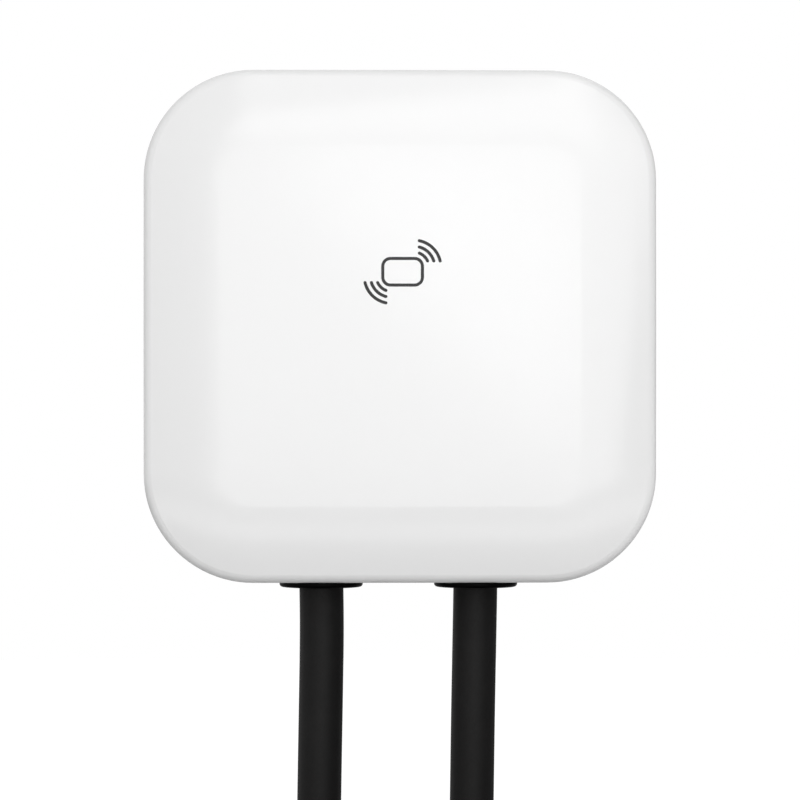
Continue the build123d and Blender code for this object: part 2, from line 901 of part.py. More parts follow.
with BuildPart() as reader_board:
    with BuildSketch(front_plane(reader_board_depth)):
        with Locations((symbol_x, symbol_z)):
            RectangleRounded(reader_board_width, reader_board_height, edge_radius)
            with GridLocations(2 * reader_post_x, 2 * reader_post_z, 2, 2):
                Circle(reader_screw_diameter / 2 + screw_gap, mode=Mode.SUBTRACT)
    extrude(amount=reader_board_thickness)
    with BuildSketch(front_plane(reader_board_depth)):
        with Locations((symbol_x, reader_socket_z)):
            Rectangle(socket_width, chip_height)
    extrude(amount=-reader_socket_height)
    with BuildSketch(front_plane(reader_board_depth)):
        with Locations((symbol_x, symbol_z + chip_height)):
            Rectangle(reader_chip_side, reader_chip_side)
    extrude(amount=-chip_height / 2)
write_part(reader_board, "reader_board")

with BuildPart() as reader_antenna:
    with BuildSketch(front_plane(reader_front)):
        with Locations((symbol_x, symbol_z)):
            RectangleRounded(antenna_width, antenna_height, antenna_track)
            RectangleRounded(
                antenna_width - 2 * antenna_track,
                antenna_height - 2 * antenna_track,
                antenna_track / 2,
                mode=Mode.SUBTRACT,
            )
    extrude(amount=antenna_thickness)
write_part(reader_antenna, "reader_antenna")

with BuildPart() as reader_screws:
    with BuildSketch(front_plane(reader_board_depth)):
        with Locations((symbol_x, symbol_z)):
            with GridLocations(2 * reader_post_x, 2 * reader_post_z, 2, 2):
                Circle(reader_screw_head / 2)
    extrude(amount=-reader_screw_head_height)
    with BuildSketch(front_plane(reader_board_depth)):
        with Locations((symbol_x, symbol_z)):
            with GridLocations(2 * reader_post_x, 2 * reader_post_z, 2, 2):
                Circle(reader_screw_diameter / 2)
    extrude(amount=reader_screw_length)
write_part(reader_screws, "reader_screws")

ribbon_rear = control_board_depth + board_thickness + socket_height / 2
ribbon_front = reader_board_depth - reader_socket_height / 2
ribbon_top = socket_z - chip_height / 2
ribbon_bend = (ribbon_front - ribbon_rear) / 2

with BuildPart() as reader_ribbon:
    with BuildSketch(Plane.YZ.offset(symbol_x - ribbon_width / 2)):
        with BuildLine() as ribbon_line:
            Line((-ribbon_front, ribbon_top), (-ribbon_front, ribbon_top - ribbon_drop))
            ThreePointArc(
                (-ribbon_front, ribbon_top - ribbon_drop),
                (-ribbon_front + ribbon_bend, ribbon_top - ribbon_drop - ribbon_bend),
                (-ribbon_rear, ribbon_top - ribbon_drop),
            )
            Line((-ribbon_rear, ribbon_top - ribbon_drop), (-ribbon_rear, ribbon_top))
        trace(ribbon_line.line, line_width=ribbon_thickness)
    extrude(amount=ribbon_width)
write_part(reader_ribbon, "reader_ribbon")

# Parts on the power board

terminal_width = 5 * pole_pitch + 2 * terminal_margin
terminal_front = board_front + terminal_length
poles = [(pole - 2) * pole_pitch for pole in range(5)]

for name, middle in (("supply", -terminal_x), ("charging", terminal_x)):
    with BuildPart() as terminal:
        with BuildSketch(front_plane(board_front)):
            with Locations((middle, terminal_bottom + terminal_height / 2)):
                Rectangle(terminal_width, terminal_height)
        extrude(amount=terminal_length)
        chamfer(terminal.faces().sort_by(Axis.Y)[0].edges().filter_by(Axis.X), length=terminal_margin)
        with BuildSketch(level_plane(terminal_bottom)):
            with Locations(*[(middle + pole, -wire_depth) for pole in poles]):
                Circle(wire_hole / 2)
        extrude(amount=wire_hole_length, mode=Mode.SUBTRACT)
        with BuildSketch(front_plane(terminal_front)):
            with Locations(*[(middle + pole, terminal_screw_z) for pole in poles]):
                Circle(terminal_screw_diameter / 2 + terminal_screw_gap)
        extrude(amount=-terminal_screw_length - terminal_margin, mode=Mode.SUBTRACT)
    write_part(terminal, f"{name}_terminal")

with BuildPart() as terminal_screws:
    with BuildSketch(front_plane(terminal_front - terminal_margin)):
        with Locations(*[(side * terminal_x + pole, terminal_screw_z) for side in (-1, 1) for pole in poles]):
            Circle(terminal_screw_diameter / 2)
    extrude(amount=-terminal_screw_length)
    with BuildSketch(front_plane(terminal_front - terminal_margin)):
        with Locations(*[(side * terminal_x + pole, terminal_screw_z) for side in (-1, 1) for pole in poles]):
            Rectangle(terminal_screw_diameter, terminal_margin)
    extrude(amount=-terminal_margin, mode=Mode.SUBTRACT)
write_part(terminal_screws, "terminal_screws")

with BuildPart() as pilot_terminal:
    with BuildSketch(front_plane(board_front)):
        with Locations((0, terminal_bottom + terminal_height / 2)):
            Rectangle(pilot_terminal_width, terminal_height)
    extrude(amount=terminal_length)
    with BuildSketch(level_plane(terminal_bottom)):
        with Locations((0, -pilot_depth)):
            Circle(pilot_hole / 2)
    extrude(amount=wire_hole_length, mode=Mode.SUBTRACT)
write_part(pilot_terminal, "pilot_terminal")

for relay_number in range(relay_count):
    with BuildPart() as power_relay:
        with BuildSketch(front_plane(board_front)):
            with Locations((relay_first_x + relay_number * relay_pitch, relay_z)):
                Rectangle(relay_width, relay_height)
        extrude(amount=relay_length)
        fillet(power_relay.edges().filter_by(Axis.Y), radius=terminal_margin)
    write_part(power_relay, f"power_relay_{relay_number + 1}")

with BuildPart() as residual_current_sensor:
    with BuildSketch(front_plane(board_front)):
        with Locations((sensor_x, sensor_z)):
            Rectangle(sensor_width, sensor_height)
    extrude(amount=sensor_length)
    fillet(
        residual_current_sensor.edges().filter_by(Axis.Z).group_by(Axis.Y)[0],
        radius=sensor_height / 2,
    )
    with BuildSketch(level_plane(sensor_z - sensor_height / 2)):
        with Locations((sensor_x, -board_front - sensor_length / 2)):
            Circle(sensor_bore / 2)
    extrude(amount=sensor_height, mode=Mode.SUBTRACT)
write_part(residual_current_sensor, "residual_current_sensor")

with BuildPart() as transformer:
    with BuildSketch(front_plane(board_front)):
        with Locations((transformer_x, transformer_z)):
            Rectangle(transformer_width, transformer_height)
    extrude(amount=transformer_length)
    fillet(transformer.edges().filter_by(Axis.Y), radius=board_thickness)
    chamfer(transformer.faces().sort_by(Axis.Y)[0].edges(), length=terminal_margin)
write_part(transformer, "transformer")

for number, place_x in enumerate(capacitor_x):
    with BuildPart() as filter_capacitor:
        with BuildSketch(front_plane(board_front)):
            with Locations((place_x, capacitor_z)):
                Circle(capacitor_diameter / 2)
        extrude(amount=capacitor_length)
        fillet(filter_capacitor.faces().sort_by(Axis.Y)[0].edges(), radius=terminal_margin)
    write_part(filter_capacitor, f"filter_capacitor_{number + 1}")

with BuildPart() as fuse:
    with BuildSketch(level_plane(fuse_z - fuse_length / 2)):
        with Locations((fuse_x, -board_front - fuse_diameter / 2)):
            Circle(fuse_diameter / 2)
    extrude(amount=fuse_length)
    for end_z in (fuse_z - fuse_length / 2, fuse_z + fuse_length / 2 - fuse_diameter):
        with BuildSketch(level_plane(end_z)):
            with Locations((fuse_x, -board_front - fuse_diameter / 2)):
                Rectangle(fuse_diameter, fuse_diameter)
        extrude(amount=fuse_diameter)
write_part(fuse, "fuse")

for number in range(arrester_count):
    arrester_x = arrester_first_x + number * arrester_pitch
    with BuildPart() as surge_arrester:
        with BuildSketch(Plane.YZ.offset(arrester_x)):
            with Locations((-board_front - arrester_diameter / 2, arrester_z)):
                Circle(arrester_diameter / 2)
            with Locations((-board_front - arrester_diameter / 4, arrester_z)):
                Rectangle(arrester_diameter / 2, arrester_diameter / 2)
        extrude(amount=arrester_thickness)
    write_part(surge_arrester, f"surge_arrester_{number + 1}")

with BuildPart() as board_connector:
    with BuildSketch(front_plane(board_front)):
        with Locations((header_x, header_z)):
            Rectangle(header_width, header_height)
    extrude(amount=control_board_depth - board_front)
write_part(board_connector, "board_connector")

# Cores inside the box, fanned out from each lead to its terminals


def round_run(points, radii, diameter):
    """Round solid along straight runs joined by arcs."""
    with BuildLine(mode=Mode.PRIVATE) as run:
        FilletPolyline(*points, radius=radii)
    route = run.wires()[0]
    with BuildSketch(Plane(origin=route @ 0, z_dir=route % 0), mode=Mode.PRIVATE) as section:
        Circle(diameter / 2)
    with BuildPart(mode=Mode.PRIVATE) as tube:
        sweep(sections=section.sketch, path=route)
    return tube.part


core_angles = (162, 234, 90, 306, 18)
core_inner_run = 6.0
core_fan_end = terminal_bottom - 8.0
core_top = terminal_bottom + 6.0


def fanned_cores(lead_x, terminal_middle):
    """Five cores from a lead's end to the poles of its terminal."""
    cores = []
    for angle, pole in zip(core_angles, poles):
        start_x = lead_x + core_circle * math.cos(math.radians(angle))
        start_y = -lead_depth - core_circle * math.sin(math.radians(angle))
        target_x = terminal_middle + pole
        route = [
            (start_x, start_y, lead_inner_end),
            (start_x, start_y, lead_inner_end + core_inner_run),
            (target_x, -wire_depth, core_fan_end),
            (target_x, -wire_depth, core_top),
        ]
        cores.append(round_run(route, [core_bend, core_bend], core_diameter))
    return cores


with BuildPart() as supply_cores:
    for core in fanned_cores(supply_x, -terminal_x):
        add(core)
write_part(supply_cores, "supply_cores")

pilot_start_x = charging_x + pilot_circle * math.cos(math.radians(126))
pilot_start_y = -lead_depth - pilot_circle * math.sin(math.radians(126))

with BuildPart() as charging_cores:
    for core in fanned_cores(charging_x, terminal_x):
        add(core)
    add(
        round_run(
            [
                (pilot_start_x, pilot_start_y, lead_inner_end),
                (pilot_start_x, pilot_start_y, lead_inner_end + core_inner_run / 2),
                (0, -pilot_depth, core_fan_end),
                (0, -pilot_depth, core_top),
            ],
            [pilot_core_diameter, pilot_core_diameter],
            pilot_core_diameter,
        )
    )
write_part(charging_cores, "charging_cores")

# Leads outside the box


def bend_radii(points):
    """Largest tangent arc at each inner point of a route."""
    radii = []
    for before, corner, after in zip(points, points[1:], points[2:]):
        inward = Vector(*corner) - Vector(*before)
        onward = Vector(*after) - Vector(*corner)
        half_turn = math.radians(inward.get_angle(onward)) / 2
        radii.append(tangent_share * min(inward.length, onward.length) / math.tan(half_turn))
    return radii


def lead_tube(name, points, diameter):
    """Lead along its route, with its radii and its volume printed."""
    radii = bend_radii(points)
    tube = round_run(points, radii, diameter)
    with BuildLine(mode=Mode.PRIVATE) as line:
        FilletPolyline(*points, radius=radii)
    length = line.wires()[0].length
    expected = math.pi * (diameter / 2) ** 2 * length
    if diameter == lead_diameter:
        print(name, "length", round(length, 1), "radii", [round(radius) for radius in radii])
        print(name, "volume over section times length", round(tube.volume / expected, 4))
    return tube


clearance_diameter = lead_diameter + 2 * lead_gap
coil_bottom = floor_z + coil_gap
coil_top = floor_z + coil_layers * lead_diameter
lead_routes = {
    "charging": (charging_route, charging_tail_route),
    "supply": (supply_route, supply_tail_route),
}
coil_places = {
    "charging": (charging_coil_x, charging_coil_y, charging_tie_side),
    "supply": (supply_coil_x, supply_coil_y, supply_tie_side),
}
coil_turns = {
    "charging": (charging_coil_outer, charging_coil_inner),
    "supply": (supply_coil_outer, supply_coil_inner),
}

for name, (route, tail_route) in lead_routes.items():
    coil_x, coil_y, tie_side = coil_places[name]
    outer_turn, inner_turn = coil_turns[name]
    coil_outer = outer_turn + lead_diameter / 2 - coil_trim
    coil_inner = inner_turn - lead_diameter / 2
    coil_width = coil_outer - coil_inner
    coil_height = coil_top - coil_bottom
    coil_axis = Axis((coil_x, coil_y, 0), (0, 0, 1))
    section_plane = Plane(
        origin=(coil_x, coil_y, (coil_bottom + coil_top) / 2),
        x_dir=(tie_side, 0, 0),
        z_dir=(0, -1, 0),
    )
    lead_cut = lead_tube(name, route, clearance_diameter)
    tail_cut = lead_tube(name, tail_route, clearance_diameter)

    with BuildPart() as lead:
        add(lead_tube(f"{name}_lead", route, lead_diameter))
    write_part(lead, f"{name}_lead")

    with BuildPart() as tail:
        add(lead_tube(f"{name}_lead_tail", tail_route, lead_diameter))
    write_part(tail, f"{name}_lead_tail")

    with BuildPart() as coil:
        with BuildSketch(section_plane):
            with Locations(((coil_outer + coil_inner) / 2, 0)):
                RectangleRounded(coil_width, coil_height, coil_edge)
        revolve(axis=coil_axis)
        add(lead_cut, mode=Mode.SUBTRACT)
        add(tail_cut, mode=Mode.SUBTRACT)
    write_part(coil, f"{name}_coil")

    with BuildPart() as coil_tie:
        with BuildSketch(section_plane):
            with Locations(((coil_outer + coil_inner) / 2, 0)):
                RectangleRounded(
                    coil_width + 2 * (tie_gap + tie_thickness),
                    coil_height + 2 * (tie_gap + tie_thickness),
                    coil_edge + tie_gap + tie_thickness,
                )
                RectangleRounded(
                    coil_width + 2 * tie_gap,
                    coil_height + 2 * tie_gap,
                    coil_edge + tie_gap,
                    mode=Mode.SUBTRACT,
                )
        revolve(axis=coil_axis, revolution_arc=tie_arc)
    write_part(coil_tie, f"{name}_coil_tie")

# Bare ends of the supply lead: five cores with ferrules

supply_end = Vector(*supply_tail_route[-1])
supply_end_direction = (supply_end - Vector(*supply_tail_route[-2])).normalized()
supply_end_plane = Plane(origin=supply_end, z_dir=supply_end_direction)

with BuildPart() as bare_cores:
    with BuildSketch(supply_end_plane):
        with PolarLocations(core_circle, 5):
            Circle(core_diameter / 2)
    extrude(amount=bare_core_length)
    with BuildSketch(supply_end_plane.offset(bare_core_length - ferrule_seat)):
        with PolarLocations(core_circle, 5):
            Circle(ferrule_diameter / 2)
    extrude(amount=ferrule_length + ferrule_seat)
write_part(bare_cores, "supply_bare_cores")

# Connector for the car

tilt = math.radians(connector_tilt)
heading = math.radians(connector_heading)
connector_axis = Vector(
    -math.cos(tilt) * math.cos(heading),
    math.cos(tilt) * math.sin(heading),
    math.sin(tilt),
)
connector_up = Vector(
    math.sin(tilt) * math.cos(heading),
    -math.sin(tilt) * math.sin(heading),
    math.cos(tilt),
)
connector_base = Plane(origin=connector_tail, x_dir=connector_up.cross(connector_axis), z_dir=connector_axis)
profile_plane = Plane(
    origin=connector_tail,
    x_dir=connector_axis,
    z_dir=connector_axis.cross(connector_up),
)
spin_axis = Axis(connector_tail, connector_axis)


def shell_profile(wall):
    """Half section of the grip and collar, moved in by wall."""
    start = connector_shell_start + wall
    with BuildSketch(profile_plane, mode=Mode.PRIVATE) as profile:
        with BuildLine():
            Line((start, 0), (start, connector_tail_radius - wall))
            Spline(
                (start, connector_tail_radius - wall),
                (connector_grip_start, connector_grip_radius - wall),
                (connector_grip_end, connector_grip_radius - wall),
                (connector_neck_start, connector_neck_radius - wall),
                (connector_collar_start, connector_collar_radius - wall),
            )
            Polyline(
                (connector_collar_start, connector_collar_radius - wall),
                (connector_collar_end - wall, connector_collar_radius - wall),
                (connector_collar_end - wall, 0),
                (start, 0),
            )
        make_face()
    return profile.sketch


shell_outer_profile = shell_profile(0)
shell_inner_profile = shell_profile(connector_shell_wall)

with BuildPart() as insert_body:
    with BuildSketch(connector_base.offset(insert_start)):
        Circle(insert_radius)
        with Locations((0, insert_radius)):
            Rectangle(4 * insert_radius, 2 * (insert_radius - insert_flat), mode=Mode.SUBTRACT)
    extrude(amount=insert_end - insert_start)
    fillet(insert_body.faces().sort_by(Axis.X)[0].edges(), radius=edge_radius / 2)

with BuildPart() as insert_space:
    with BuildSketch(connector_base.offset(insert_start - insert_gap)):
        Circle(insert_radius + insert_gap)
        with Locations((0, insert_radius)):
            Rectangle(
                4 * insert_radius,
                2 * (insert_radius - insert_flat - insert_gap),
                mode=Mode.SUBTRACT,
            )
    extrude(amount=insert_end - insert_start)

for name, side in (("left", -1), ("right", 1)):
    with BuildPart() as shell:
        revolve(shell_outer_profile, axis=spin_axis)
        revolve(shell_inner_profile, axis=spin_axis, mode=Mode.SUBTRACT)
        fillet(
            shell.edges().filter_by(GeomType.CIRCLE).filter_by(
                lambda edge: edge.radius > connector_collar_radius - connector_split_gap
            ),
            radius=edge_radius / 2,
        )
        add(insert_space.part, mode=Mode.SUBTRACT)
        with BuildSketch(connector_base.offset(connector_shell_start)):
            Circle(connector_boot_root + insert_gap)
        extrude(amount=connector_shell_wall, mode=Mode.SUBTRACT)
        with BuildSketch(connector_base):
            with Locations((-side * (connector_collar_radius - connector_split_gap), 0)):
                Rectangle(2 * connector_collar_radius, 4 * connector_collar_radius)
        extrude(amount=insert_end, mode=Mode.SUBTRACT)
    write_part(shell, f"connector_shell_{name}")

main_contacts = [
    (
        contact_ring * math.cos(math.radians(angle)),
        contact_ring * math.sin(math.radians(angle)) - edge_radius / 2,
    )
    for angle in contact_angles
]
signal_contacts = [(-signal_x, signal_y), (signal_x, signal_y)]

with BuildPart() as connector_insert:
    add(insert_body.part)
    with BuildSketch(connector_base.offset(insert_end)):
        with Locations(*main_contacts):
            Circle(contact_entry)
        with Locations(*signal_contacts):
            Circle(signal_entry)
    extrude(amount=-contact_entry_depth, mode=Mode.SUBTRACT)
    with BuildSketch(connector_base.offset(insert_end - contact_entry_depth)):
        with Locations(*main_contacts):
            Circle(contact_outer + contact_gap)
        with Locations(*signal_contacts):
            Circle(signal_outer + signal_gap)
    extrude(amount=-contact_length, mode=Mode.SUBTRACT)
write_part(connector_insert, "connector_insert")

with BuildPart() as connector_contacts:
    with BuildSketch(connector_base.offset(insert_end - contact_entry_depth)):
        with Locations(*main_contacts):
            Circle(contact_outer)
        with Locations(*signal_contacts):
            Circle(signal_outer)
    extrude(amount=-contact_length)
    with BuildSketch(connector_base.offset(insert_end - contact_entry_depth)):
        with Locations(*main_contacts):
            Circle(contact_bore)
        with Locations(*signal_contacts):
            Circle(signal_bore)
    extrude(amount=-contact_length + contact_entry_depth, mode=Mode.SUBTRACT)
write_part(connector_contacts, "connector_contacts")

with BuildPart() as connector_boot:
    with BuildSketch(profile_plane):
        with BuildLine():
            Polyline(
                (0, lead_diameter / 2 + lead_gap),
                (0, connector_boot_tip),
                (connector_shell_start, connector_boot_root),
                (connector_boot_length, connector_boot_root),
                (connector_boot_length, lead_diameter / 2 + lead_gap),
                close=True,
            )
        make_face()
    revolve(axis=spin_axis)
write_part(connector_boot, "connector_boot")
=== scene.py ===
"""Looks, leads and studio of the wall charging box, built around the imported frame."""

import json
import logging
import math
from dataclasses import dataclass, field
from enum import Enum
from typing import ClassVar, Iterable, Optional, Sequence

import bmesh
import bpy
from mathutils import Matrix, Vector

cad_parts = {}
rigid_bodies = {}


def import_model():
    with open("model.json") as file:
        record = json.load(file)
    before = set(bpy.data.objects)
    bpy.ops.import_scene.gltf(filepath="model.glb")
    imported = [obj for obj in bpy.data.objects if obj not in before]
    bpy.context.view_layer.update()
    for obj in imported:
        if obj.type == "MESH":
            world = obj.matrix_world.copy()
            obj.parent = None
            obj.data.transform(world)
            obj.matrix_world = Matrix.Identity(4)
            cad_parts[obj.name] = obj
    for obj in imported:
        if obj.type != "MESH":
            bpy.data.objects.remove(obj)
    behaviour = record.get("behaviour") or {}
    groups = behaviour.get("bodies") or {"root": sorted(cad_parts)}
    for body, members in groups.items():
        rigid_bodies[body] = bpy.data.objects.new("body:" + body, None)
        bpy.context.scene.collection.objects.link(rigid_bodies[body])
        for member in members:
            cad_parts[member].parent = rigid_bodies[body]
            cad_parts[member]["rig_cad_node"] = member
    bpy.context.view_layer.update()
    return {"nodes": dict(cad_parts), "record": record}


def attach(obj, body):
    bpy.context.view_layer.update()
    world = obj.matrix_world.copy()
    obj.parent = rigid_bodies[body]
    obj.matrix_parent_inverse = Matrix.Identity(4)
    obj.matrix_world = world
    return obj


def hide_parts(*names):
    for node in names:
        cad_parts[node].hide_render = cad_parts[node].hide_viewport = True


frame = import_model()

Pair = tuple[float, float]
Point = tuple[float, float, float]
Colour = tuple[float, float, float]
Socket = bpy.types.NodeSocket

log = logging.getLogger("wallbox")

MM = 0.001
ROOT = "root"
UP = Vector((0, 0, 1))
WHITE = (1.0, 1.0, 1.0, 1.0)
MIDDLE_RANGE = (0.3, 0.7)


class Nodes:
    """A node tree, made node by node."""

    def __init__(self, tree: bpy.types.NodeTree) -> None:
        """Take a tree to add to.

        Args:
            tree: the node tree.
        """
        self.tree = tree

    def add(self, kind: str, links: Optional[dict] = None, **settings: object) -> bpy.types.Node:
        """Add a node.

        Args:
            kind: the node's type name.
            links: what goes into its inputs, each an output socket or a value.
            settings: attributes of the node.

        Returns:
            The new node.
        """
        node = self.tree.nodes.new(kind)
        for key, value in settings.items():
            setattr(node, key, value)
        for key, value in (links or {}).items():
            self.feed(node.inputs[key], value)
        return node

    def feed(self, socket: Socket, value: object) -> None:
        """Link an output to a socket, or set the socket's value.

        Args:
            socket: the input socket.
            value: an output socket, a number or a colour.
        """
        if isinstance(value, Socket):
            self.tree.links.new(value, socket)
        else:
            socket.default_value = value

    def combine(self, operation: str, first: object, second: object) -> Socket:
        """Combine two numbers.

        Args:
            operation: the kind of sum.
            first: an output socket or a number.
            second: an output socket or a number.

        Returns:
            The result.
        """
        return self.add("ShaderNodeMath", {0: first, 1: second}, operation=operation).outputs[0]

    def span(self, value: Socket, low: float, high: float, source: Pair = MIDDLE_RANGE,
             curve: str = "LINEAR") -> Socket:
        """Map a value to a range.

        Args:
            value: the value.
            low: the result at the source's lower end.
            high: the result at the source's upper end.
            source: the source range.
            curve: how the result rises in between.

        Returns:
            The mapped value.
        """
        return self.add("ShaderNodeMapRange", {
            "Value": value, "From Min": source[0], "From Max": source[1], "To Min": low, "To Max": high,
        }, interpolation_type=curve).outputs["Result"]


class Shader(Nodes):
    """A material's node tree around its Principled shader."""

    def __init__(self, name: str) -> None:
        """Start a material.

        Args:
            name: the material's name.
        """
        self.material = bpy.data.materials.new(name)
        self.material.use_nodes = True
        super().__init__(self.material.node_tree)
        self.surface = self.tree.nodes["Principled BSDF"]
        self.place = self.add("ShaderNodeTexCoord").outputs["Object"]
        self.values: dict[Pattern, Socket] = {}

    def set(self, **values: object) -> None:
        """Set or link inputs of the Principled shader.

        Args:
            values: socket names with underscores for spaces.
        """
        for key, value in values.items():
            self.feed(self.surface.inputs[key.replace("_", " ")], value)

    def value(self, pattern: "Pattern") -> Socket:
        """A pattern's value, from the same nodes each time.

        Args:
            pattern: the pattern.

        Returns:
            The value.
        """
        if pattern not in self.values:
            self.values[pattern] = pattern.build(self)
        return self.values[pattern]

    def between(self, factor: Socket, first: Colour, second: Colour) -> Socket:
        """Mix two colours.

        Args:
            factor: the share of the second colour.
            first: the colour at 0.
            second: the colour at 1.

        Returns:
            The mixed colour.
        """
        # Of the node's sockets with the same name, inputs 6 and 7 and output 2 are the ones for colours.
        mix = self.add("ShaderNodeMix", {"Factor": factor, 6: (*first, 1.0), 7: (*second, 1.0)}, data_type="RGBA")
        return mix.outputs[2]


class Pattern:
    """A pattern over a surface."""

    def build(self, shader: Shader) -> Socket:
        """Add the pattern's nodes.

        Args:
            shader: the shader to add to.

        Returns:
            The pattern's value.
        """
        raise NotImplementedError


@dataclass(frozen=True)
class Noise(Pattern):
    """A noise whose features measure about one size."""

    size: float
    detail: float = 2.0
    roughness: float = 0.5
    stretch: Optional[Point] = None

    def build(self, shader: Shader) -> Socket:
        """Add the noise, pressed along each axis where it has a stretch."""
        place = shader.place
        if self.stretch is not None:
            place = shader.add("ShaderNodeMapping", {"Vector": place, "Scale": self.stretch}).outputs["Vector"]
        return shader.add("ShaderNodeTexNoise", {
            "Vector": place, "Scale": 1 / self.size, "Detail": self.detail, "Roughness": self.roughness,
        }).outputs["Fac"]


@dataclass(frozen=True)
class Cells(Pattern):
    """Cells of about one size."""

    size: float

    def build(self, shader: Shader) -> Socket:
        """Add the distance from each cell's middle."""
        return shader.add("ShaderNodeTexVoronoi", {"Vector": shader.place, "Scale": 1 / self.size}).outputs["Distance"]


@dataclass(frozen=True)
class Bands(Pattern):
    """Parallel bands that follow each other along one axis."""

    pitch: float
    direction: str
    distortion: float = 0.3

    def build(self, shader: Shader) -> Socket:
        """Add the bands."""
        return shader.add("ShaderNodeTexWave", {
            "Vector": shader.place, "Scale": math.pi / 10 / self.pitch, "Distortion": self.distortion, "Detail": 1.0,
        }, bands_direction=self.direction).outputs["Fac"]


@dataclass(frozen=True)
class Lanes(Pattern):
    """The gaps between rows of long fields, as between a board's tracks."""

    length: float
    height: float
    gap: float
    blur: float = 0.4

    def build(self, shader: Shader) -> Socket:
        """Add the gaps in the plane of x and z."""
        flat = shader.add("ShaderNodeMapping", {"Vector": shader.place, "Rotation": (math.pi / 2, 0, 0)})
        return shader.add("ShaderNodeTexBrick", {
            "Vector": flat.outputs["Vector"], "Scale": 1.0, "Mortar Size": self.gap, "Mortar Smooth": self.blur,
            "Brick Width": self.length, "Row Height": self.height,
        }).outputs["Fac"]


@dataclass(frozen=True)
class Relief:
    """A pattern's relief, with its depth in metres and how strongly it shows."""

    pattern: Pattern
    depth: float
    strength: float


@dataclass(frozen=True)
class Finish:
    """A surface whose colour, roughness and relief follow patterns. Its reliefs are listed from the lowest."""

    name: str
    colour: Colour
    roughness: float = 0.45
    gloss: float = field(default=0.5, kw_only=True)

    blend: ClassVar[Pattern] = Noise(0.02, 4)
    blend_range: ClassVar[Pair] = MIDDLE_RANGE
    shades: ClassVar[Pair] = (0.93, 1.05)
    sheen: ClassVar[Pattern] = Noise(0.001)
    sheen_range: ClassVar[Pair] = MIDDLE_RANGE
    spread: ClassVar[Pair] = (-0.05, 0.08)
    reliefs: ClassVar[tuple[Relief, ...]] = ()
    more: ClassVar[dict[str, float]] = {}

    def ends(self) -> tuple[Colour, Colour]:
        """The two colours that the surface varies between."""
        first, second = (tuple(min(1.0, channel * shade) for channel in self.colour) for shade in self.shades)
        return first, second

    def make(self) -> bpy.types.Material:
        """Build the material."""
        shader = Shader(self.name)
        low, high = (self.roughness + change for change in self.spread)
        shader.set(
            Base_Color=shader.between(shader.span(shader.value(self.blend), 0, 1, self.blend_range), *self.ends()),
            Roughness=shader.span(shader.value(self.sheen), low, high, self.sheen_range),
            Specular_IOR_Level=self.gloss,
            **self.more,
        )
        under = {}
        for relief in self.reliefs:
            bump = shader.add("ShaderNodeBump", {
                "Height": shader.value(relief.pattern), "Distance": relief.depth, "Strength": relief.strength, **under,
            })
            under = {"Normal": bump.outputs["Normal"]}
        shader.set(**under)
        return shader.material


class GlossMoulding(Finish):
    """Smooth moulded plastic with a soft gloss and the faint waves of its mould."""

    blend = Noise(0.05, 3)
    shades = (0.994, 1.0)
    sheen = Noise(0.01, 3)
    spread = (-0.01, 0.015)
    reliefs = (Relief(Noise(0.02, 1), 0.00002, 0.3), Relief(Noise(0.0006), 0.000003, 0.15))
    more = {"IOR": 1.5}


class Grain(Enum):
    """The texture that a mould leaves: a noise's octaves and the share they keep, or none for cells."""

    SPARK = (2, 0.6)
    SATIN = (4, 0.7)
    PEBBLE = None


@dataclass(frozen=True)
class GrainedMoulding(Finish):
    """Moulded plastic with an eroded grain."""

    grain: Grain = Grain.SPARK
    size: float = 0.0006
    depth: float = 0.00003
    strength: float = 0.5

    @property
    def sheen(self) -> Pattern:
        """The grain's pattern, which the roughness follows too."""
        return Cells(self.size) if self.grain is Grain.PEBBLE else Noise(self.size, *self.grain.value)

    @property
    def reliefs(self) -> tuple[Relief, ...]:
        """The grain's relief."""
        return (Relief(self.sheen, self.depth, self.strength),)


class PrintedInk(Finish):
    """A dense printed ink with slightly uneven cover."""

    blend = Noise(0.0012, 3)
    shades = (1.0, 1.35)
    sheen = Noise(0.0004)
    spread = (0.0, 0.1)
    reliefs = (Relief(Noise(0.0003), 0.000004, 0.2),)


class JacketRubber(Finish):
    """The matte extruded jacket of a cable, with fine grain and a little dust."""

    blend = Noise(0.012, 5, 0.65)
    blend_range = (0.45, 0.8)
    shades = (1.0, 1.6)
    sheen = Noise(0.0005, 3, 0.7)
    spread = (-0.06, 0.08)
    reliefs = (Relief(Noise(0.004, 2, 0.5, (1.0, 1.0, 0.2)), 0.0001, 0.25), Relief(sheen, 0.00004, 0.5))


class Foam(Finish):
    """Closed foam rubber with open cells on its skin."""

    # The colour is darker towards each cell's middle, where the relief sinks: painted shade in the pores.
    blend = sheen = Cells(0.0009)
    blend_range = sheen_range = (0.0, 0.6)
    shades = (0.6, 1.0)
    spread = (0.0, -0.2)
    reliefs = (Relief(sheen, 0.0002, 0.8),)


class PlatedMetal(Finish):
    """Sheet or turned metal with a plated or drawn surface."""

    shades = (0.85, 1.08)
    sheen = Noise(0.0015, 3, 0.6, (1.0, 1.0, 8.0))
    spread = (-0.08, 0.1)
    reliefs = (Relief(sheen, 0.00001, 0.3), Relief(Cells(0.004), 0.00001, 0.2))
    more = {"Metallic": 1.0}


class WovenBand(Finish):
    """A woven hook-and-loop band."""

    # The colour follows the loops' cells: darker in their hollows and lighter on their rims, painted shade and painted
    # highlight.
    blend = Cells(0.0011)
    blend_range = (0.0, 0.6)
    shades = (0.6, 1.8)
    sheen = Noise(0.0004, 3, 0.7)
    spread = (0.0, 0.15)
    reliefs = (Relief(sheen, 0.0001, 0.6), Relief(blend, 0.0003, 0.7))
    more = {"Sheen_Weight": 0.35, "Sheen_Roughness": 0.5}


class CoreInsulation(Finish):
    """The insulation of a single core."""

    blend = Noise(0.006, 3)
    shades = (0.9, 1.08)
    spread = (0.0, 0.1)
    reliefs = (Relief(Noise(0.0008), 0.00002, 0.3),)


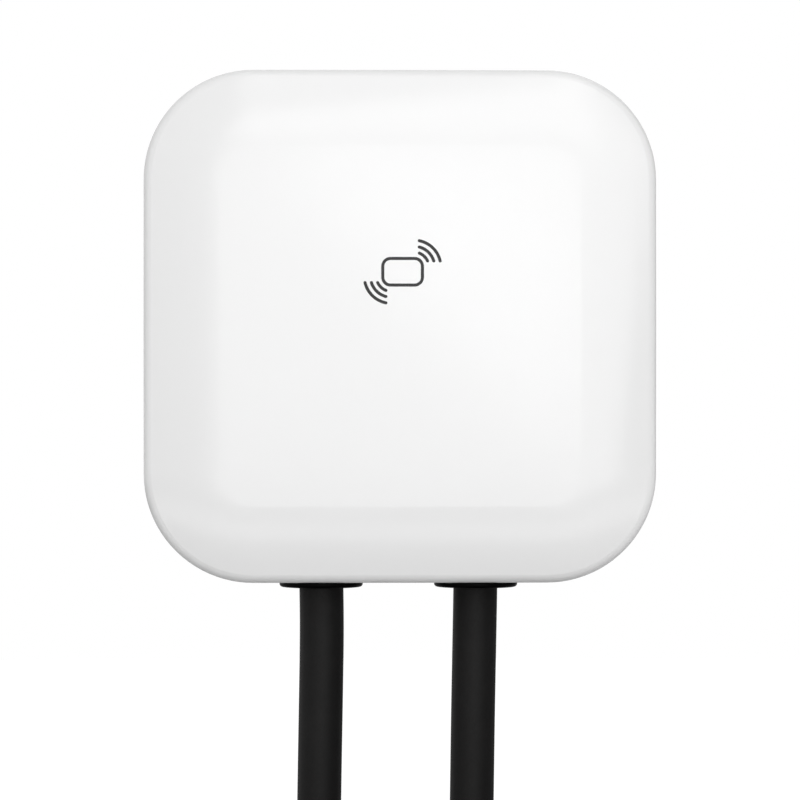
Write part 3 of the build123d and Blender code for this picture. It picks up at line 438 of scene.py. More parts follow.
@dataclass(frozen=True)
class StripedInsulation(CoreInsulation):
    """The insulation of a core in two colours."""

    stripe: Colour = (0.03, 0.2, 0.04)

    blend = Bands(math.pi / 950, "Z", 0.6)
    blend_range = (0.47, 0.53)

    def ends(self) -> tuple[Colour, Colour]:
        """The colour and its stripe's."""
        return self.colour, self.stripe


@dataclass(frozen=True)
class CircuitBoard(Finish):
    """A coated circuit board with tracks under its mask."""

    track: Colour = (0.04, 0.2, 0.08)

    blend = Lanes(0.013, 0.0042, 0.0006)
    blend_range = (0.0, 1.0)
    sheen = Noise(0.0007, 2, 0.5, (1.0, 1.0, 3.0))
    spread = (0.0, 0.1)
    reliefs = (Relief(sheen, 0.00001, 0.2), Relief(blend, 0.00004, 0.4))

    def ends(self) -> tuple[Colour, Colour]:
        """The tracks' colour and the mask's."""
        return self.track, self.colour


@dataclass(frozen=True)
class BandedFinish(Finish):
    """A surface with fine parallel bands, such as a winding or a ribbon."""

    # The grooves' colour is painted shade: darker where the bands' relief sinks.
    groove_shade: Colour = (0.3, 0.3, 0.3)
    pitch: float = 0.001
    direction: str = "X"
    depth: float = 0.0002
    strength: float = 0.5

    blend_range = (0.1, 0.6)

    @property
    def blend(self) -> Pattern:
        """The bands."""
        return Bands(self.pitch, self.direction)

    @property
    def reliefs(self) -> tuple[Relief, ...]:
        """The bands' relief."""
        return (Relief(self.blend, self.depth, self.strength),)

    def ends(self) -> tuple[Colour, Colour]:
        """The painted shade in the grooves and the bands' own colour."""
        return self.groove_shade, self.colour


class Finishes:
    """Every finish of the box, by the record's slot name."""

    def __init__(self) -> None:
        """Build each slot's material once."""
        satin, pebble = Grain.SATIN, Grain.PEBBLE
        made = {
            "cover_white": GlossMoulding("cover_gloss", (0.83, 0.83, 0.83), 0.15),
            "symbol_print": PrintedInk("symbol_ink", (0.004, 0.004, 0.0045), 0.2, gloss=0.24),
            "box_white": GrainedMoulding("box_grain", (0.72, 0.72, 0.71), 0.5),
            "seal_foam": Foam("seal_cells", (0.05, 0.05, 0.05), 0.9),
            "zinc_steel": PlatedMetal("zinc_plate", (0.58, 0.58, 0.57), 0.35),
            # The collars' near-black colour is their own black, made darker still by painted shade from the box above
            # them.
            "collar_black": GrainedMoulding("collar_satin", (0.0018, 0.0018, 0.0018), 0.35, satin, gloss=0.03),
            "sleeve_rubber": JacketRubber("sleeve_skin", (0.02, 0.02, 0.02), 0.6, gloss=0.2),
            "lead_rubber": JacketRubber("lead_jacket", (0.0045, 0.0042, 0.0042), 0.6, gloss=0.2),
            "tie_fabric": WovenBand("tie_weave", (0.02, 0.02, 0.02), 0.8),
            "core_insulation": CoreInsulation("core_brown", (0.16, 0.075, 0.035), 0.36),
            "board_green": CircuitBoard("board_mask", (0.015, 0.1, 0.04), 0.24),
            "antenna_copper": PlatedMetal("antenna_track", (0.7, 0.36, 0.2), 0.3),
            "ribbon_grey": BandedFinish("ribbon_lanes", (0.5, 0.5, 0.52), groove_shade=(0.3, 0.3, 0.32), pitch=0.00127),
            "terminal_grey": GrainedMoulding("terminal_grain", (0.2, 0.21, 0.21), 0.45, satin),
            "relay_black": GrainedMoulding("relay_case", (0.02, 0.02, 0.022), 0.35, satin),
            "transformer_yellow": BandedFinish("winding_tape", (0.55, 0.4, 0.08), groove_shade=(0.3, 0.2, 0.03),
                                               pitch=0.003, direction="Z"),
            "capacitor_metal": PlatedMetal("capacitor_can", (0.66, 0.66, 0.66), 0.25),
            "fuse_ceramic": GrainedMoulding("fuse_body", (0.7, 0.68, 0.62), 0.25, satin),
            "arrester_blue": GrainedMoulding("arrester_dip", (0.03, 0.08, 0.3), 0.3, pebble),
            "connector_black": GrainedMoulding("connector_grain", (0.014, 0.014, 0.015), 0.42, pebble,
                                               size=0.0007, depth=0.00005),
            "insert_grey": GrainedMoulding("insert_satin", (0.03, 0.03, 0.032), 0.35, satin),
            "contact_silver": PlatedMetal("contact_plate", (0.78, 0.77, 0.74), 0.2),
        }
        self.by_slot = {slot: finish.make() for slot, finish in made.items()}

    def paint(self, piece: bpy.types.Object, slot: str) -> None:
        """Give a piece one slot's material.

        Args:
            piece: the piece to paint.
            slot: the record's slot name.
        """
        piece.data.materials.clear()
        piece.data.materials.append(self.by_slot[slot])

    def stand_in(self, piece: bpy.types.Object, slot: str, *nodes: str) -> None:
        """Paint a piece and let it take the place of nodes of the frame.

        Args:
            piece: the piece to paint.
            slot: the record's slot name.
            nodes: the nodes that it replaces.
        """
        self.paint(piece, slot)
        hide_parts(*nodes)
        log.info("built %s for %s", piece.name, ", ".join(nodes))

    def dress_frame(self) -> None:
        """Paint every node of the frame with its slot's material."""
        for row in frame["record"]["subparts"]:
            self.paint(frame["nodes"][row["node"]], row["material_slot"])
            log.info("dressed %s in %s", row["node"], row["material_slot"])


def clamp(value: float) -> float:
    """A value held between 0 and 1."""
    return min(1.0, max(0.0, value))


def ease(share: float) -> float:
    """A share from 0 to 1 that starts and ends gently."""
    return share * share * (3 - 2 * share)


def put(name: str, data: bpy.types.ID) -> bpy.types.Object:
    """Put an object into the scene.

    Args:
        name: the object's name.
        data: its mesh, curve, camera or lamp.

    Returns:
        The object.
    """
    thing = bpy.data.objects.new(name, data)
    bpy.context.scene.collection.objects.link(thing)
    return thing


@dataclass(frozen=True)
class Coil:
    """A neat coil in two layers: the turns go inward below and outward above."""

    centre: Pair
    outer: float
    inner: float
    pitch: float
    level: float
    turns_in: float
    turns_out: float
    spin: int = -1
    points_per_turn: int = 16
    climb_turns: float = 0.5

    def points(self) -> list[Point]:
        """The control points of all turns, in metres."""
        step = 1 / self.points_per_turn
        reach = 1 / math.cos(math.pi / self.points_per_turn)
        rows = []
        for index in range(round((self.turns_in + self.turns_out) * self.points_per_turn)):
            turn = (index + 0.5) * step
            radius = self.radius(turn) * reach
            angle = math.pi / 2 + self.spin * 2 * math.pi * turn
            rows.append((
                self.centre[0] + radius * math.cos(angle),
                self.centre[1] + radius * math.sin(angle),
                self.height(turn),
            ))
        return rows

    def radius(self, turn: float) -> float:
        """The radius after a number of turns.

        Args:
            turn: turns from the start.

        Returns:
            The radius in metres.
        """
        if turn <= self.turns_in:
            return max(self.inner, self.outer - self.pitch * max(0.0, turn))
        return min(self.outer, self.inner + self.pitch * (turn - self.turns_in))

    def height(self, turn: float) -> float:
        """The height of the middle line after a number of turns.

        Args:
            turn: turns from the start.

        Returns:
            The height in metres.
        """
        climb = clamp((turn - self.turns_in + self.climb_turns) / self.climb_turns)
        return self.level + self.pitch * climb


def mesh_piece(name: str, net: bmesh.types.BMesh, smooth_angle: float = 40.0) -> bpy.types.Object:
    """Turn a bmesh into a smooth-shaded object that rides on the box.

    Args:
        name: the piece's name.
        net: its faces, freed afterwards.
        smooth_angle: the angle in degrees above which an edge stays sharp.

    Returns:
        The object.
    """
    bmesh.ops.recalc_face_normals(net, faces=net.faces)
    mesh = bpy.data.meshes.new(name)
    net.to_mesh(mesh)
    net.free()
    mesh.shade_smooth()
    mesh.set_sharp_from_angle(angle=math.radians(smooth_angle))
    piece = put(name, mesh)
    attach(piece, ROOT)
    return piece


def circle(middle: Vector, first: Vector, second: Vector, radius: float, count: int) -> list[Vector]:
    """Points round a middle.

    Args:
        middle: the middle.
        first: the first point's direction, of length 1.
        second: the direction a quarter turn on.
        radius: the circle's radius.
        count: the number of points.

    Returns:
        The points.
    """
    turns = (2 * math.pi * index / count for index in range(count))
    return [middle + first * (radius * math.cos(turn)) + second * (radius * math.sin(turn)) for turn in turns]


def skin(net: bmesh.types.BMesh, rings: Sequence[Sequence[Vector]], closed: bool = False) -> None:
    """Cover rings of points with faces, and close both ends where the rings aren't a loop.

    Args:
        net: the mesh to add to.
        rings: rings of equally many points each.
        closed: whether the last ring joins the first.
    """
    rows = [[net.verts.new(point) for point in ring] for ring in rings]
    pairs = list(zip(rows, rows[1:]))
    if closed:
        pairs.append((rows[-1], rows[0]))
    else:
        net.faces.new(rows[0])
        net.faces.new(rows[-1])
    for first, second in pairs:
        for index in range(len(first)):
            after = (index + 1) % len(first)
            net.faces.new((first[index], first[after], second[after], second[index]))


def hull(points: Sequence[Pair]) -> list[Pair]:
    """The convex outline of points in a plane, counter-clockwise.

    Args:
        points: the points.

    Returns:
        The outline's corners.
    """
    ordered = sorted(set(points))
    sides = []
    for row in (ordered, ordered[::-1]):
        side: list[Pair] = []
        for point in row:
            while len(side) > 1 and (
                (side[-1][0] - side[-2][0]) * (point[1] - side[-2][1])
                - (side[-1][1] - side[-2][1]) * (point[0] - side[-2][0])
            ) <= 0:
                side.pop()
            side.append(point)
        sides += side[:-1]
    return sides


@dataclass(frozen=True)
class Dome:
    """The slight dome of the cover's front, which falls back towards its four sides."""

    roll: float = 66.0 * MM
    end: float = 94.0 * MM
    steepest: float = 0.03
    fade_start: float = 45.0 * MM
    fade_end: float = 68.0 * MM
    cell: float = 8.0 * MM

    def fall(self, place: Vector) -> tuple[float, Vector]:
        """How far a point falls back, with the gradient of that fall.

        Args:
            place: the point.

        Returns:
            The distance along +Y and its gradient.
        """
        amount = 0.0
        slope = Vector()
        for axis in (0, 2):
            reach = min(self.end, abs(place[axis]))
            if reach < self.roll:
                steepness = self.steepest * reach / self.roll
                amount += steepness * reach / 2
            else:
                steepness = self.steepest * (self.end - reach) / (self.end - self.roll)
                amount += (self.steepest * self.end - steepness * (self.end - reach)) / 2
            slope[axis] = math.copysign(steepness, place[axis])
        depth = self.fade_end - self.fade_start
        share = clamp((-place.y - self.fade_start) / depth)
        slope *= ease(share)
        slope.y = -amount * 6 * share * (1 - share) / depth
        return amount * ease(share), slope

    def cut(self, net: bmesh.types.BMesh) -> None:
        """Cut a mesh into strips both ways, so that it can follow the dome.

        Args:
            net: the mesh.
        """
        reach = math.ceil(self.end / self.cell)
        for normal in (Vector((1, 0, 0)), Vector((0, 0, 1))):
            for step in range(-reach, reach + 1):
                front = [face for face in net.faces if min(vert.co.y for vert in face.verts) < -self.fade_start]
                bmesh.ops.bisect_plane(
                    net,
                    geom=front + list({edge for face in front for edge in face.edges})
                    + list({vert for face in front for vert in face.verts}),
                    plane_co=normal * (step * self.cell),
                    plane_no=normal,
                    dist=1e-6,
                )

    def bend(self, net: bmesh.types.BMesh, normals: Optional[bmesh.types.BMLayerItem] = None) -> None:
        """Move a mesh's points back with the dome, and turn its kept normals with them.

        Args:
            net: the mesh.
            normals: the layer with each corner's normal.
        """
        falls = {vert: self.fall(vert.co) for vert in net.verts}
        if normals is not None:
            for face in net.faces:
                for loop in face.loops:
                    slope = falls[loop.vert][1]
                    kept = loop[normals]
                    loop[normals] = (kept - slope * (kept.y / (1 + slope.y))).normalized()
        for vert, (amount, _) in falls.items():
            vert.co.y += amount


@dataclass(frozen=True)
class CardSymbol:
    """The printed card between two sets of three waves, and the smooth cover front that it is printed on."""

    centre: Pair = (0.65 * MM, 19.74 * MM)
    card: Pair = (15.6 * MM, 10.84 * MM)
    corner: float = 3.4 * MM
    stroke: float = 1.15 * MM
    wave_centre: Pair = (4.15 * MM, 1.73 * MM)
    wave_ends: Pair = (6.09 * MM, 3.96 * MM)
    wave_radii: Point = (5.41 * MM, 7.55 * MM, 9.79 * MM)
    front: float = -75.03 * MM
    back: float = -74.9 * MM
    recess: float = -74.99 * MM
    pocket_floor: float = -74.4 * MM
    pocket_centre: Pair = (0.7 * MM, 20.3 * MM)
    pocket_reach: float = 16.0 * MM
    island: Pair = (7.35 * MM, 4.95 * MM)
    arc_steps: int = 28
    cap_steps: int = 6
    cap_end: float = 0.02

    def build(self, finishes: Finishes) -> None:
        """Build the smooth cover and the print.

        Args:
            finishes: the finishes by slot.
        """
        finishes.stand_in(self.smooth_cover(), "cover_white", "front_cover")
        net = bmesh.new()
        self.line(net, self.card_path(), closed=True)
        for side in (1, -1):
            for radius in self.wave_radii:
                self.line(net, self.wave_path(radius, side))
        Dome().bend(net)
        finishes.stand_in(mesh_piece("card_print", net), "symbol_print", "card_symbol")

    def smooth_cover(self) -> bpy.types.Object:
        """The front cover with the inlay's pockets closed flush, its front slightly domed.

        Returns:
            The cover.
        """
        mesh = frame["nodes"]["front_cover"].data.copy()
        kept = mesh.attributes.new("kept_normal", "FLOAT_VECTOR", "CORNER")
        values = [0.0] * (3 * len(mesh.loops))
        mesh.corner_normals.foreach_get("vector", values)
        kept.data.foreach_set("vector", values)
        net = bmesh.new()
        net.from_mesh(mesh)
        pockets = [face for face in net.faces if self.in_pocket(face)]
        bmesh.ops.delete(net, geom=pockets, context="FACES")
        rims = [
            edge for edge in net.edges
            if edge.is_boundary and all(self.near(vert.co) and vert.co.y < self.recess for vert in edge.verts)
        ]
        patches = bmesh.ops.edgeloop_fill(net, edges=rims)["faces"]
        layer = net.loops.layers.float_vector["kept_normal"]
        for patch in patches:
            patch.normal_update()
            if patch.normal.y > 0:
                patch.normal_flip()
            patch.smooth = True
            for loop in patch.loops:
                loop[layer] = (0, -1, 0)
        dome = Dome()
        dome.cut(net)
        dome.bend(net, layer)
        net.to_mesh(mesh)
        net.free()
        values = [0.0] * (3 * len(mesh.loops))
        mesh.attributes["kept_normal"].data.foreach_get("vector", values)
        mesh.normals_split_custom_set([values[at:at + 3] for at in range(0, len(values), 3)])
        mesh.attributes.remove(mesh.attributes["kept_normal"])
        cover = put("smooth_front_cover", mesh)
        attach(cover, ROOT)
        return cover

    def near(self, place: Vector) -> bool:
        """Whether a point lies round the pictogram and at the cover's front."""
        return place.y < self.pocket_floor and self.within(place, (self.pocket_reach, self.pocket_reach))

    def within(self, place: Vector, reach: Pair) -> bool:
        """Whether a point lies within a distance of the pockets' middle along x and z."""
        return abs(place.x - self.pocket_centre[0]) < reach[0] and abs(place.z - self.pocket_centre[1]) < reach[1]

    def in_pocket(self, face: bmesh.types.BMFace) -> bool:
        """Whether a face of the cover belongs to the inlay's pockets or to the field within the card."""
        places = [vert.co for vert in face.verts]
        if not all(self.near(place) for place in places):
            return False
        sunk = any(place.y > self.recess for place in places)
        return sunk or all(self.within(place, self.island) for place in places)

    def card_path(self) -> list[tuple[Vector, Vector]]:
        """The middle line of the card's outline, with its outward direction at each point."""
        radius = self.corner - self.stroke / 2
        reach_x = self.card[0] / 2 - self.corner
        reach_z = self.card[1] / 2 - self.corner
        rows = []
        for quarter, (side_x, side_z) in enumerate(((1, 1), (-1, 1), (-1, -1), (1, -1))):
            for step in range(self.arc_steps // 2 + 1):
                angle = math.pi / 2 * (quarter + step / (self.arc_steps // 2))
                outward = Vector((math.cos(angle), math.sin(angle)))
                middle = Vector((side_x * reach_x, side_z * reach_z)) + Vector(self.centre)
                rows.append((middle + outward * radius, outward))
        return rows

    def wave_path(self, radius: float, side: int) -> list[tuple[Vector, Vector]]:
        """The middle line of a wave, from its end above to its end beside the card.

        Args:
            radius: the wave's radius.
            side: 1 for the upper right set, -1 for the lower left set.

        Returns:
            The points with their outward directions.
        """
        start = math.acos((self.wave_ends[0] - self.wave_centre[0]) / radius)
        end = math.asin((self.wave_ends[1] - self.wave_centre[1]) / radius)
        rows = []
        for step in range(self.arc_steps + 1):
            angle = start + (end - start) * step / self.arc_steps
            outward = Vector((math.cos(angle), math.sin(angle))) * side
            rows.append((Vector(self.centre) + Vector(self.wave_centre) * side + outward * radius, outward))
        return rows

    def line(self, net: bmesh.types.BMesh, path: Sequence[tuple[Vector, Vector]], closed: bool = False) -> None:
        """Add a printed line, with round ends where it is open.

        Args:
            net: the mesh to add to.
            path: the middle line's points with their directions across the line.
            closed: whether the line is a loop.
        """
        half = self.stroke / 2
        rows = [(point, across, half) for point, across in path]
        if not closed:
            rows = [
                *self.cap(path[0], path[0][0] - path[1][0], half)[::-1],
                *rows,
                *self.cap(path[-1], path[-1][0] - path[-2][0], half),
            ]
        skin(net, [
            [
                Vector((place.x, depth, place.y))
                for place, depth in (
                    (point + across * width, self.front), (point - across * width, self.front),
                    (point - across * width, self.back), (point + across * width, self.back),
                )
            ]
            for point, across, width in rows
        ], closed=closed)

    def cap(self, end: tuple[Vector, Vector], away: Vector, half: float) -> list[tuple[Vector, Vector, float]]:
        """Narrowing rows that round a line's end.

        Args:
            end: the end point with its direction across the line.
            away: the direction out of the line.
            half: half the line's width.

        Returns:
            The rows from the line outward.
        """
        place, across = end
        turns = [math.pi / 2 * step / self.cap_steps for step in range(1, self.cap_steps + 1)]
        return [
            (place + away.normalized() * (half * math.sin(turn)), across, half * max(self.cap_end, math.cos(turn)))
            for turn in turns
        ]


@dataclass(frozen=True)
class CoilTie:
    """A woven band pulled round a coil's turns, with its end pressed onto itself."""

    name: str
    node: str
    coil: Coil
    angle: float
    width: float = 19.0 * MM
    thickness: float = 1.2 * MM
    overlap: float = 38.0 * MM
    ramp: float = 6.0 * MM
    step: float = 1.5 * MM
    floor: float = -286.9 * MM
    rim_corners: int = 48
    end_share: float = 0.05

    section: ClassVar[tuple[Pair, ...]] = (
        (-1, 0.3), (-0.94, 0), (0, 0), (0.94, 0), (1, 0.3), (1, 0.7), (0.94, 1), (0, 1), (-0.94, 1), (-1, 0.7),
    )

    def build(self, finishes: Finishes, lead_radius: float) -> bpy.types.Object:
        """Build the band.

        Args:
            finishes: the finishes by slot.
            lead_radius: the radius of the lead under the band.

        Returns:
            The band.
        """
        outward = Vector((math.cos(self.angle), math.sin(self.angle), 0))
        along = Vector((-outward.y, outward.x, 0))
        centre = Vector((*self.coil.centre, 0))
        net = bmesh.new()
        rings = []
        for place, normal, lift, half in self.path(lead_radius):
            ring = []
            for across, up in self.section:
                point = place + normal * (lift + self.thickness * up)
                ring.append(centre + along * (half * across) + outward * point.x + UP * max(self.floor, point.y))
            rings.append(ring)
        skin(net, rings)
        piece = mesh_piece(self.name, net, 60)
        finishes.stand_in(piece, "tie_fabric", self.node)
        return piece

    def path(self, lead_radius: float) -> list[tuple[Vector, Vector, float, float]]:
        """Each ring's place and outward normal in the section, its lift and its half width.

        Args:
            lead_radius: the radius of the lead under the band.

        Returns:
            The rings' rows.
        """
        turns = self.coil.turns_in + self.coil.turns_out
        first_turn = self.coil.spin * (self.angle - math.pi / 2) / (2 * math.pi) % 1
        rim = []
        for turn in (first_turn + lap for lap in range(math.ceil(turns))):
            if turn <= turns:
                middle = Vector((self.coil.radius(turn), self.coil.height(turn)))
                rim += circle(middle, Vector((1, 0)), Vector((0, 1)), lead_radius, self.rim_corners)
        outline = [Vector(corner) for corner in hull([tuple(place) for place in rim])]
        top = max(range(len(outline)), key=lambda index: outline[index].y - outline[index].x)
        outline = (outline[top:] + outline[:top])[::-1]
        lengths = [0.0]
        for here, there in zip(outline, outline[1:] + outline[:1]):
            lengths.append(lengths[-1] + (there - here).length)
        lap_length = lengths[-1]
        whole = lap_length + self.overlap
        rows = []
        for index in range(math.ceil(whole / self.step) + 1):
            travel = min(index * self.step, whole)
            before, here, after = (
                self.on_outline(outline, lengths, travel + change) for change in (-self.step, 0, self.step)
            )
            heading = (after - before).normalized()
            climb = clamp((travel - lap_length + self.ramp) / self.ramp)
            taper = min(1.0, (whole - travel) / (self.width / 2))
            half = self.width / 2 * math.sqrt(max(self.end_share, 1 - (1 - taper) ** 2))
            rows.append((here, Vector((-heading.y, heading.x)), self.thickness * ease(climb), half))
        return rows

    @staticmethod
    def on_outline(outline: Sequence[Vector], lengths: Sequence[float], travel: float) -> Vector:
        """The point of a closed outline at a distance from its start.

        Args:
            outline: the outline's corners.
            lengths: the distance of each corner from the start, and the whole length last.
            travel: the distance.

        Returns:
            The point.
        """
        travel %= lengths[-1]
        index = max(place for place, length in enumerate(lengths[:-1]) if length <= travel)
        here = outline[index]
        there = outline[(index + 1) % len(outline)]
        return here.lerp(there, (travel - lengths[index]) / max(1e-9, lengths[index + 1] - lengths[index]))


@dataclass(frozen=True)
class BareCores:
    """The five cores at the supply lead's end, stripped back and fitted with ferrules."""

    start: Point = (-128.0 * MM, -248.9 * MM, -278.7 * MM)
    core_circle: float = 4.4 * MM
    core: float = 2.1 * MM
    length: float = 44.0 * MM
    splay: float = 1.6 * MM
    skirt: float = 2.45 * MM
    skirt_length: float = 9.0 * MM
    skirt_bevel: Pair = (0.1 * MM, 1.5 * MM)
    sleeve: float = 1.45 * MM
    sleeve_length: float = 12.0 * MM
    rim: float = 0.3 * MM
    crimps: int = 12
    crimp: float = 0.9
    tip: float = 0.85
    hidden: float = 3.0 * MM
    ring_gap: float = 2.0 * MM
    side_count: int = 20

    def build(self, finishes: Finishes) -> list[bpy.types.Object]:
        """Build the cores and their ferrules.

        Args:
            finishes: the finishes by slot.

        Returns:
            The pieces.
        """
        colours = {
            "brown": CoreInsulation("core_brown_skin", (0.12, 0.045, 0.02), 0.36),
            "black": CoreInsulation("core_black_skin", (0.012, 0.012, 0.012), 0.36),
            "grey": CoreInsulation("core_grey_skin", (0.22, 0.22, 0.22), 0.36),
            "blue": CoreInsulation("core_blue_skin", (0.02, 0.09, 0.35), 0.36),
            "earth": StripedInsulation("core_earth_skin", (0.55, 0.5, 0.02), 0.36),
        }
        pieces = []
        for index, (name, finish) in enumerate(colours.items()):
            angle = math.radians(90 + 72 * index)
            core = self.rod(f"supply_core_{name}", angle, self.core_profile())
            core.data.materials.append(finish.make())
            ferrule = self.rod(f"supply_ferrule_{name}", angle, self.ferrule_profile())
            finishes.paint(ferrule, "zinc_steel")
            pieces += [core, ferrule]
            log.info("built %s and %s", core.name, ferrule.name)
        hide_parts("supply_bare_cores")
        return pieces

    def core_profile(self) -> list[Pair]:
        """Distance along and radius of the insulated stretch and the ferrule's skirt."""
        skirt_start = self.length - self.skirt_length
        return [
            (-self.hidden, self.core), (skirt_start, self.core), (skirt_start + self.skirt_bevel[0], self.skirt),
            (self.length - self.skirt_bevel[1], self.skirt), (self.length, self.sleeve + self.rim),
            (self.length + self.rim, self.sleeve),
        ]

    def ferrule_profile(self) -> list[Pair]:
        """Distance along and radius of the crimped metal sleeve."""
        shares = [self.crimp if index % 2 else 1.0 for index in range(self.crimps)] + [self.tip]
        return [
            (self.length + self.sleeve_length * index / self.crimps, self.sleeve * share)
            for index, share in enumerate(shares)
        ]

    def rod(self, name: str, angle: float, profile: Sequence[Pair]) -> bpy.types.Object:
        """A round rod along one core's slightly spread line.

        Args:
            name: the piece's name.
            angle: the core's place on the circle.
            profile: distance along and radius of each ring.

        Returns:
            The rod.
        """
        dense = [profile[0]]
        for (start, first), (end, second) in zip(profile, profile[1:]):
            cuts = max(1, round((end - start) / self.ring_gap))
            for cut in range(1, cuts + 1):
                share = cut / cuts
                dense.append((start + (end - start) * share, first + (second - first) * share))
        rings = []
        for along, radius in dense:
            spread = max(0.0, along / self.length)
            reach = self.core_circle + self.splay * spread * spread
            middle = Vector(self.start) + Vector((along, reach * math.cos(angle), reach * math.sin(angle)))
            rings.append(circle(middle, Vector((0, 1, 0)), UP, radius, self.side_count))
        net = bmesh.new()
        skin(net, rings)
        return mesh_piece(name, net, 30)


@dataclass(frozen=True)
class ConnectorBoot:
    """The ribbed rubber boot where the charging lead enters its connector."""

    start: Point = (117.1 * MM, -214.3 * MM, -235.7 * MM)
    tilt: float = 3.0
    heading: float = 8.0
    length: float = 46.0 * MM
    tip: float = 11.0 * MM
    root: float = 15.5 * MM
    bore: float = 8.4 * MM
    shell_start: float = 40.0 * MM
    side_count: int = 48
    ribs: int = 8
    ribs_start: float = 3.0 * MM
    ribs_end: float = 35.0 * MM
    rib_depth: float = 1.5 * MM

    lip: ClassVar[tuple[Pair, ...]] = ((0.0, -1.2 * MM), (0.4 * MM, -0.5 * MM), (1.2 * MM, 0.0))
    rib_shape: ClassVar[tuple[Pair, ...]] = (
        (0.0, 0.0), (0.08, 0.35), (0.16, 0.9), (0.26, 1.0), (0.44, 1.0), (0.54, 0.9), (0.62, 0.35), (0.7, 0.0),
        (0.9, 0.0),
    )

    def build(self, finishes: Finishes) -> bpy.types.Object:
        """Build the boot.

        Args:
            finishes: the finishes by slot.

        Returns:
            The boot.
        """
        tilt = math.radians(self.tilt)
        heading = math.radians(self.heading)
        axis = Vector((-math.cos(tilt) * math.cos(heading), math.cos(tilt) * math.sin(heading), math.sin(tilt)))
        level = axis.cross(UP).normalized()
        upright = level.cross(axis)
        net = bmesh.new()
        skin(net, [
            circle(Vector(self.start) + axis * along, level, upright, radius, self.side_count)
            for along, radius in self.profile()
        ], closed=True)
        boot = mesh_piece("connector_boot_ribs", net, 50)
        finishes.stand_in(boot, "sleeve_rubber", "connector_boot")
        return boot

    def profile(self) -> list[Pair]:
        """Distance along and radius of each ring: outside with its ribs, then back along the bore."""
        rows = [(0.0, self.bore), *((along, self.tip + change) for along, change in self.lip)]
        pitch = (self.ribs_end - self.ribs_start) / self.ribs
        for rib in range(self.ribs):
            for share, drop in self.rib_shape:
                along = self.ribs_start + pitch * (rib + share)
                rows.append((along, self.taper(along) - self.rib_depth * drop))
        return rows + [(self.ribs_end, self.taper(self.ribs_end)), (self.shell_start, self.root),
                       (self.length, self.root), (self.length, self.bore)]

    def taper(self, along: float) -> float:
        """The boot's outer radius at a distance from its tip."""
        return self.tip + (self.root - self.tip) * min(1.0, along / self.shell_start)


@dataclass(frozen=True)
class Lead:
    """A round lead: free stretch, coil and tail on one spline."""

    name: str
    route: Sequence[Point]
    coil: Coil
    tail: Sequence[Point]
    exit: Point
    length: float
    far_end: str
    diameter: float = 16.5 * MM
    fineness: int = 8

    def build(self, finishes: Finishes, ends: Iterable[bpy.types.Object]) -> bpy.types.Object:
        """Args:
            finishes: the finishes by slot.
            ends: the pieces that go with the lead; not used.

        Returns:
            The curve object.
        """
        points = [
            *(tuple(MM * value for value in point) for point in self.route),
            *self.coil.points(),
            *(tuple(MM * value for value in point) for point in self.tail),
        ]
        curve = bpy.data.curves.new(self.name, "CURVE")
        curve.dimensions = "3D"
        curve.bevel_depth = self.diameter / 2
        curve.bevel_resolution = self.fineness
        curve.use_fill_caps = True
        curve.resolution_u = self.fineness
        spline = curve.splines.new("NURBS")
        spline.points.add(len(points) - 1)
        for slot, point in zip(spline.points, points):
            slot.co = (*point, 1.0)
        spline.order_u = 3
        spline.use_endpoint_u = True
        lead = put(self.name, curve)
        base = self.name.removesuffix("_cable")
        # Painted before it rides: a curve that is painted afterwards measures a metre too much each way.
        finishes.stand_in(lead, "lead_rubber", f"{base}_lead", f"{base}_coil", f"{base}_lead_tail")
        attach(lead, ROOT)
        return lead


@dataclass(frozen=True)
class Leads:
    """The supply lead on the left and the charging lead on the right."""

    level: float = -278.75 * MM

    def build(self, finishes: Finishes) -> None:
        """Build both leads.

        Args:
            finishes: the finishes by slot.
        """
        charging_coil = Coil((0.150, -0.1468), 0.1168, 0.0673, Lead.diameter, self.level, 4, 3)
        charging_tie = CoilTie("charging_tie_band", "charging_coil_tie", charging_coil, math.radians(186))
        connector = ("connector_shell_left", "connector_shell_right", "connector_insert", "connector_contacts")
        Lead(
            name="charging_cable",
            route=((28.9, -38, -70), (28.9, -38, -92), (28.55, -38, -112), (28.0, -38, -140),
                   (27.6, -38, -168), (27.1, -38, -205),
                   (54.2, -35, -251.7), (99.5, -30, -278.7)),
            coil=charging_coil,
            tail=((169.6, -30, -261.9), (205.4, -45.6, -257), (232.1, -74.2, -250.5),
                  (245.1, -111.1, -246), (242.4, -150.1, -245.3), (224.4, -184.7, -244),
                  (194, -209.4, -241), (156.3, -219.8, -237.8), (107.2, -212.9, -235.2)),
            exit=(0.0289, -0.038, -0.0969),
            length=4.5,
            far_end="connector",
        ).build(finishes, [
            *(frame["nodes"][node] for node in connector),
            ConnectorBoot().build(finishes),
            charging_tie.build(finishes, Lead.diameter / 2),
        ])
        supply_coil = Coil((-0.1503, -0.1283), 0.0983, 0.0818, Lead.diameter, self.level, 2, 1.25, 1)
        supply_tie = CoilTie("supply_tie_band", "supply_coil_tie", supply_coil, math.radians(6))
        Lead(
            name="supply_cable",
            route=((-29, -38, -70), (-29, -38, -92), (-28.65, -38, -112), (-29.1, -38, -140),
                   (-29.6, -38, -168), (-30.1, -38, -205),
                   (-56.5, -35, -252.2), (-101.5, -30, -278.7)),
            coil=supply_coil,
            tail=((-248.6, -168.3, -263.5), (-233.3, -205.3, -268), (-205, -233.6, -275),
                  (-168, -248.9, -278.5), (-128, -248.9, -278.7)),
            exit=(-0.029, -0.038, -0.0969),
            length=2.3,
            far_end="bare",
        ).build(finishes, [*BareCores().build(finishes), supply_tie.build(finishes, Lead.diameter / 2)])


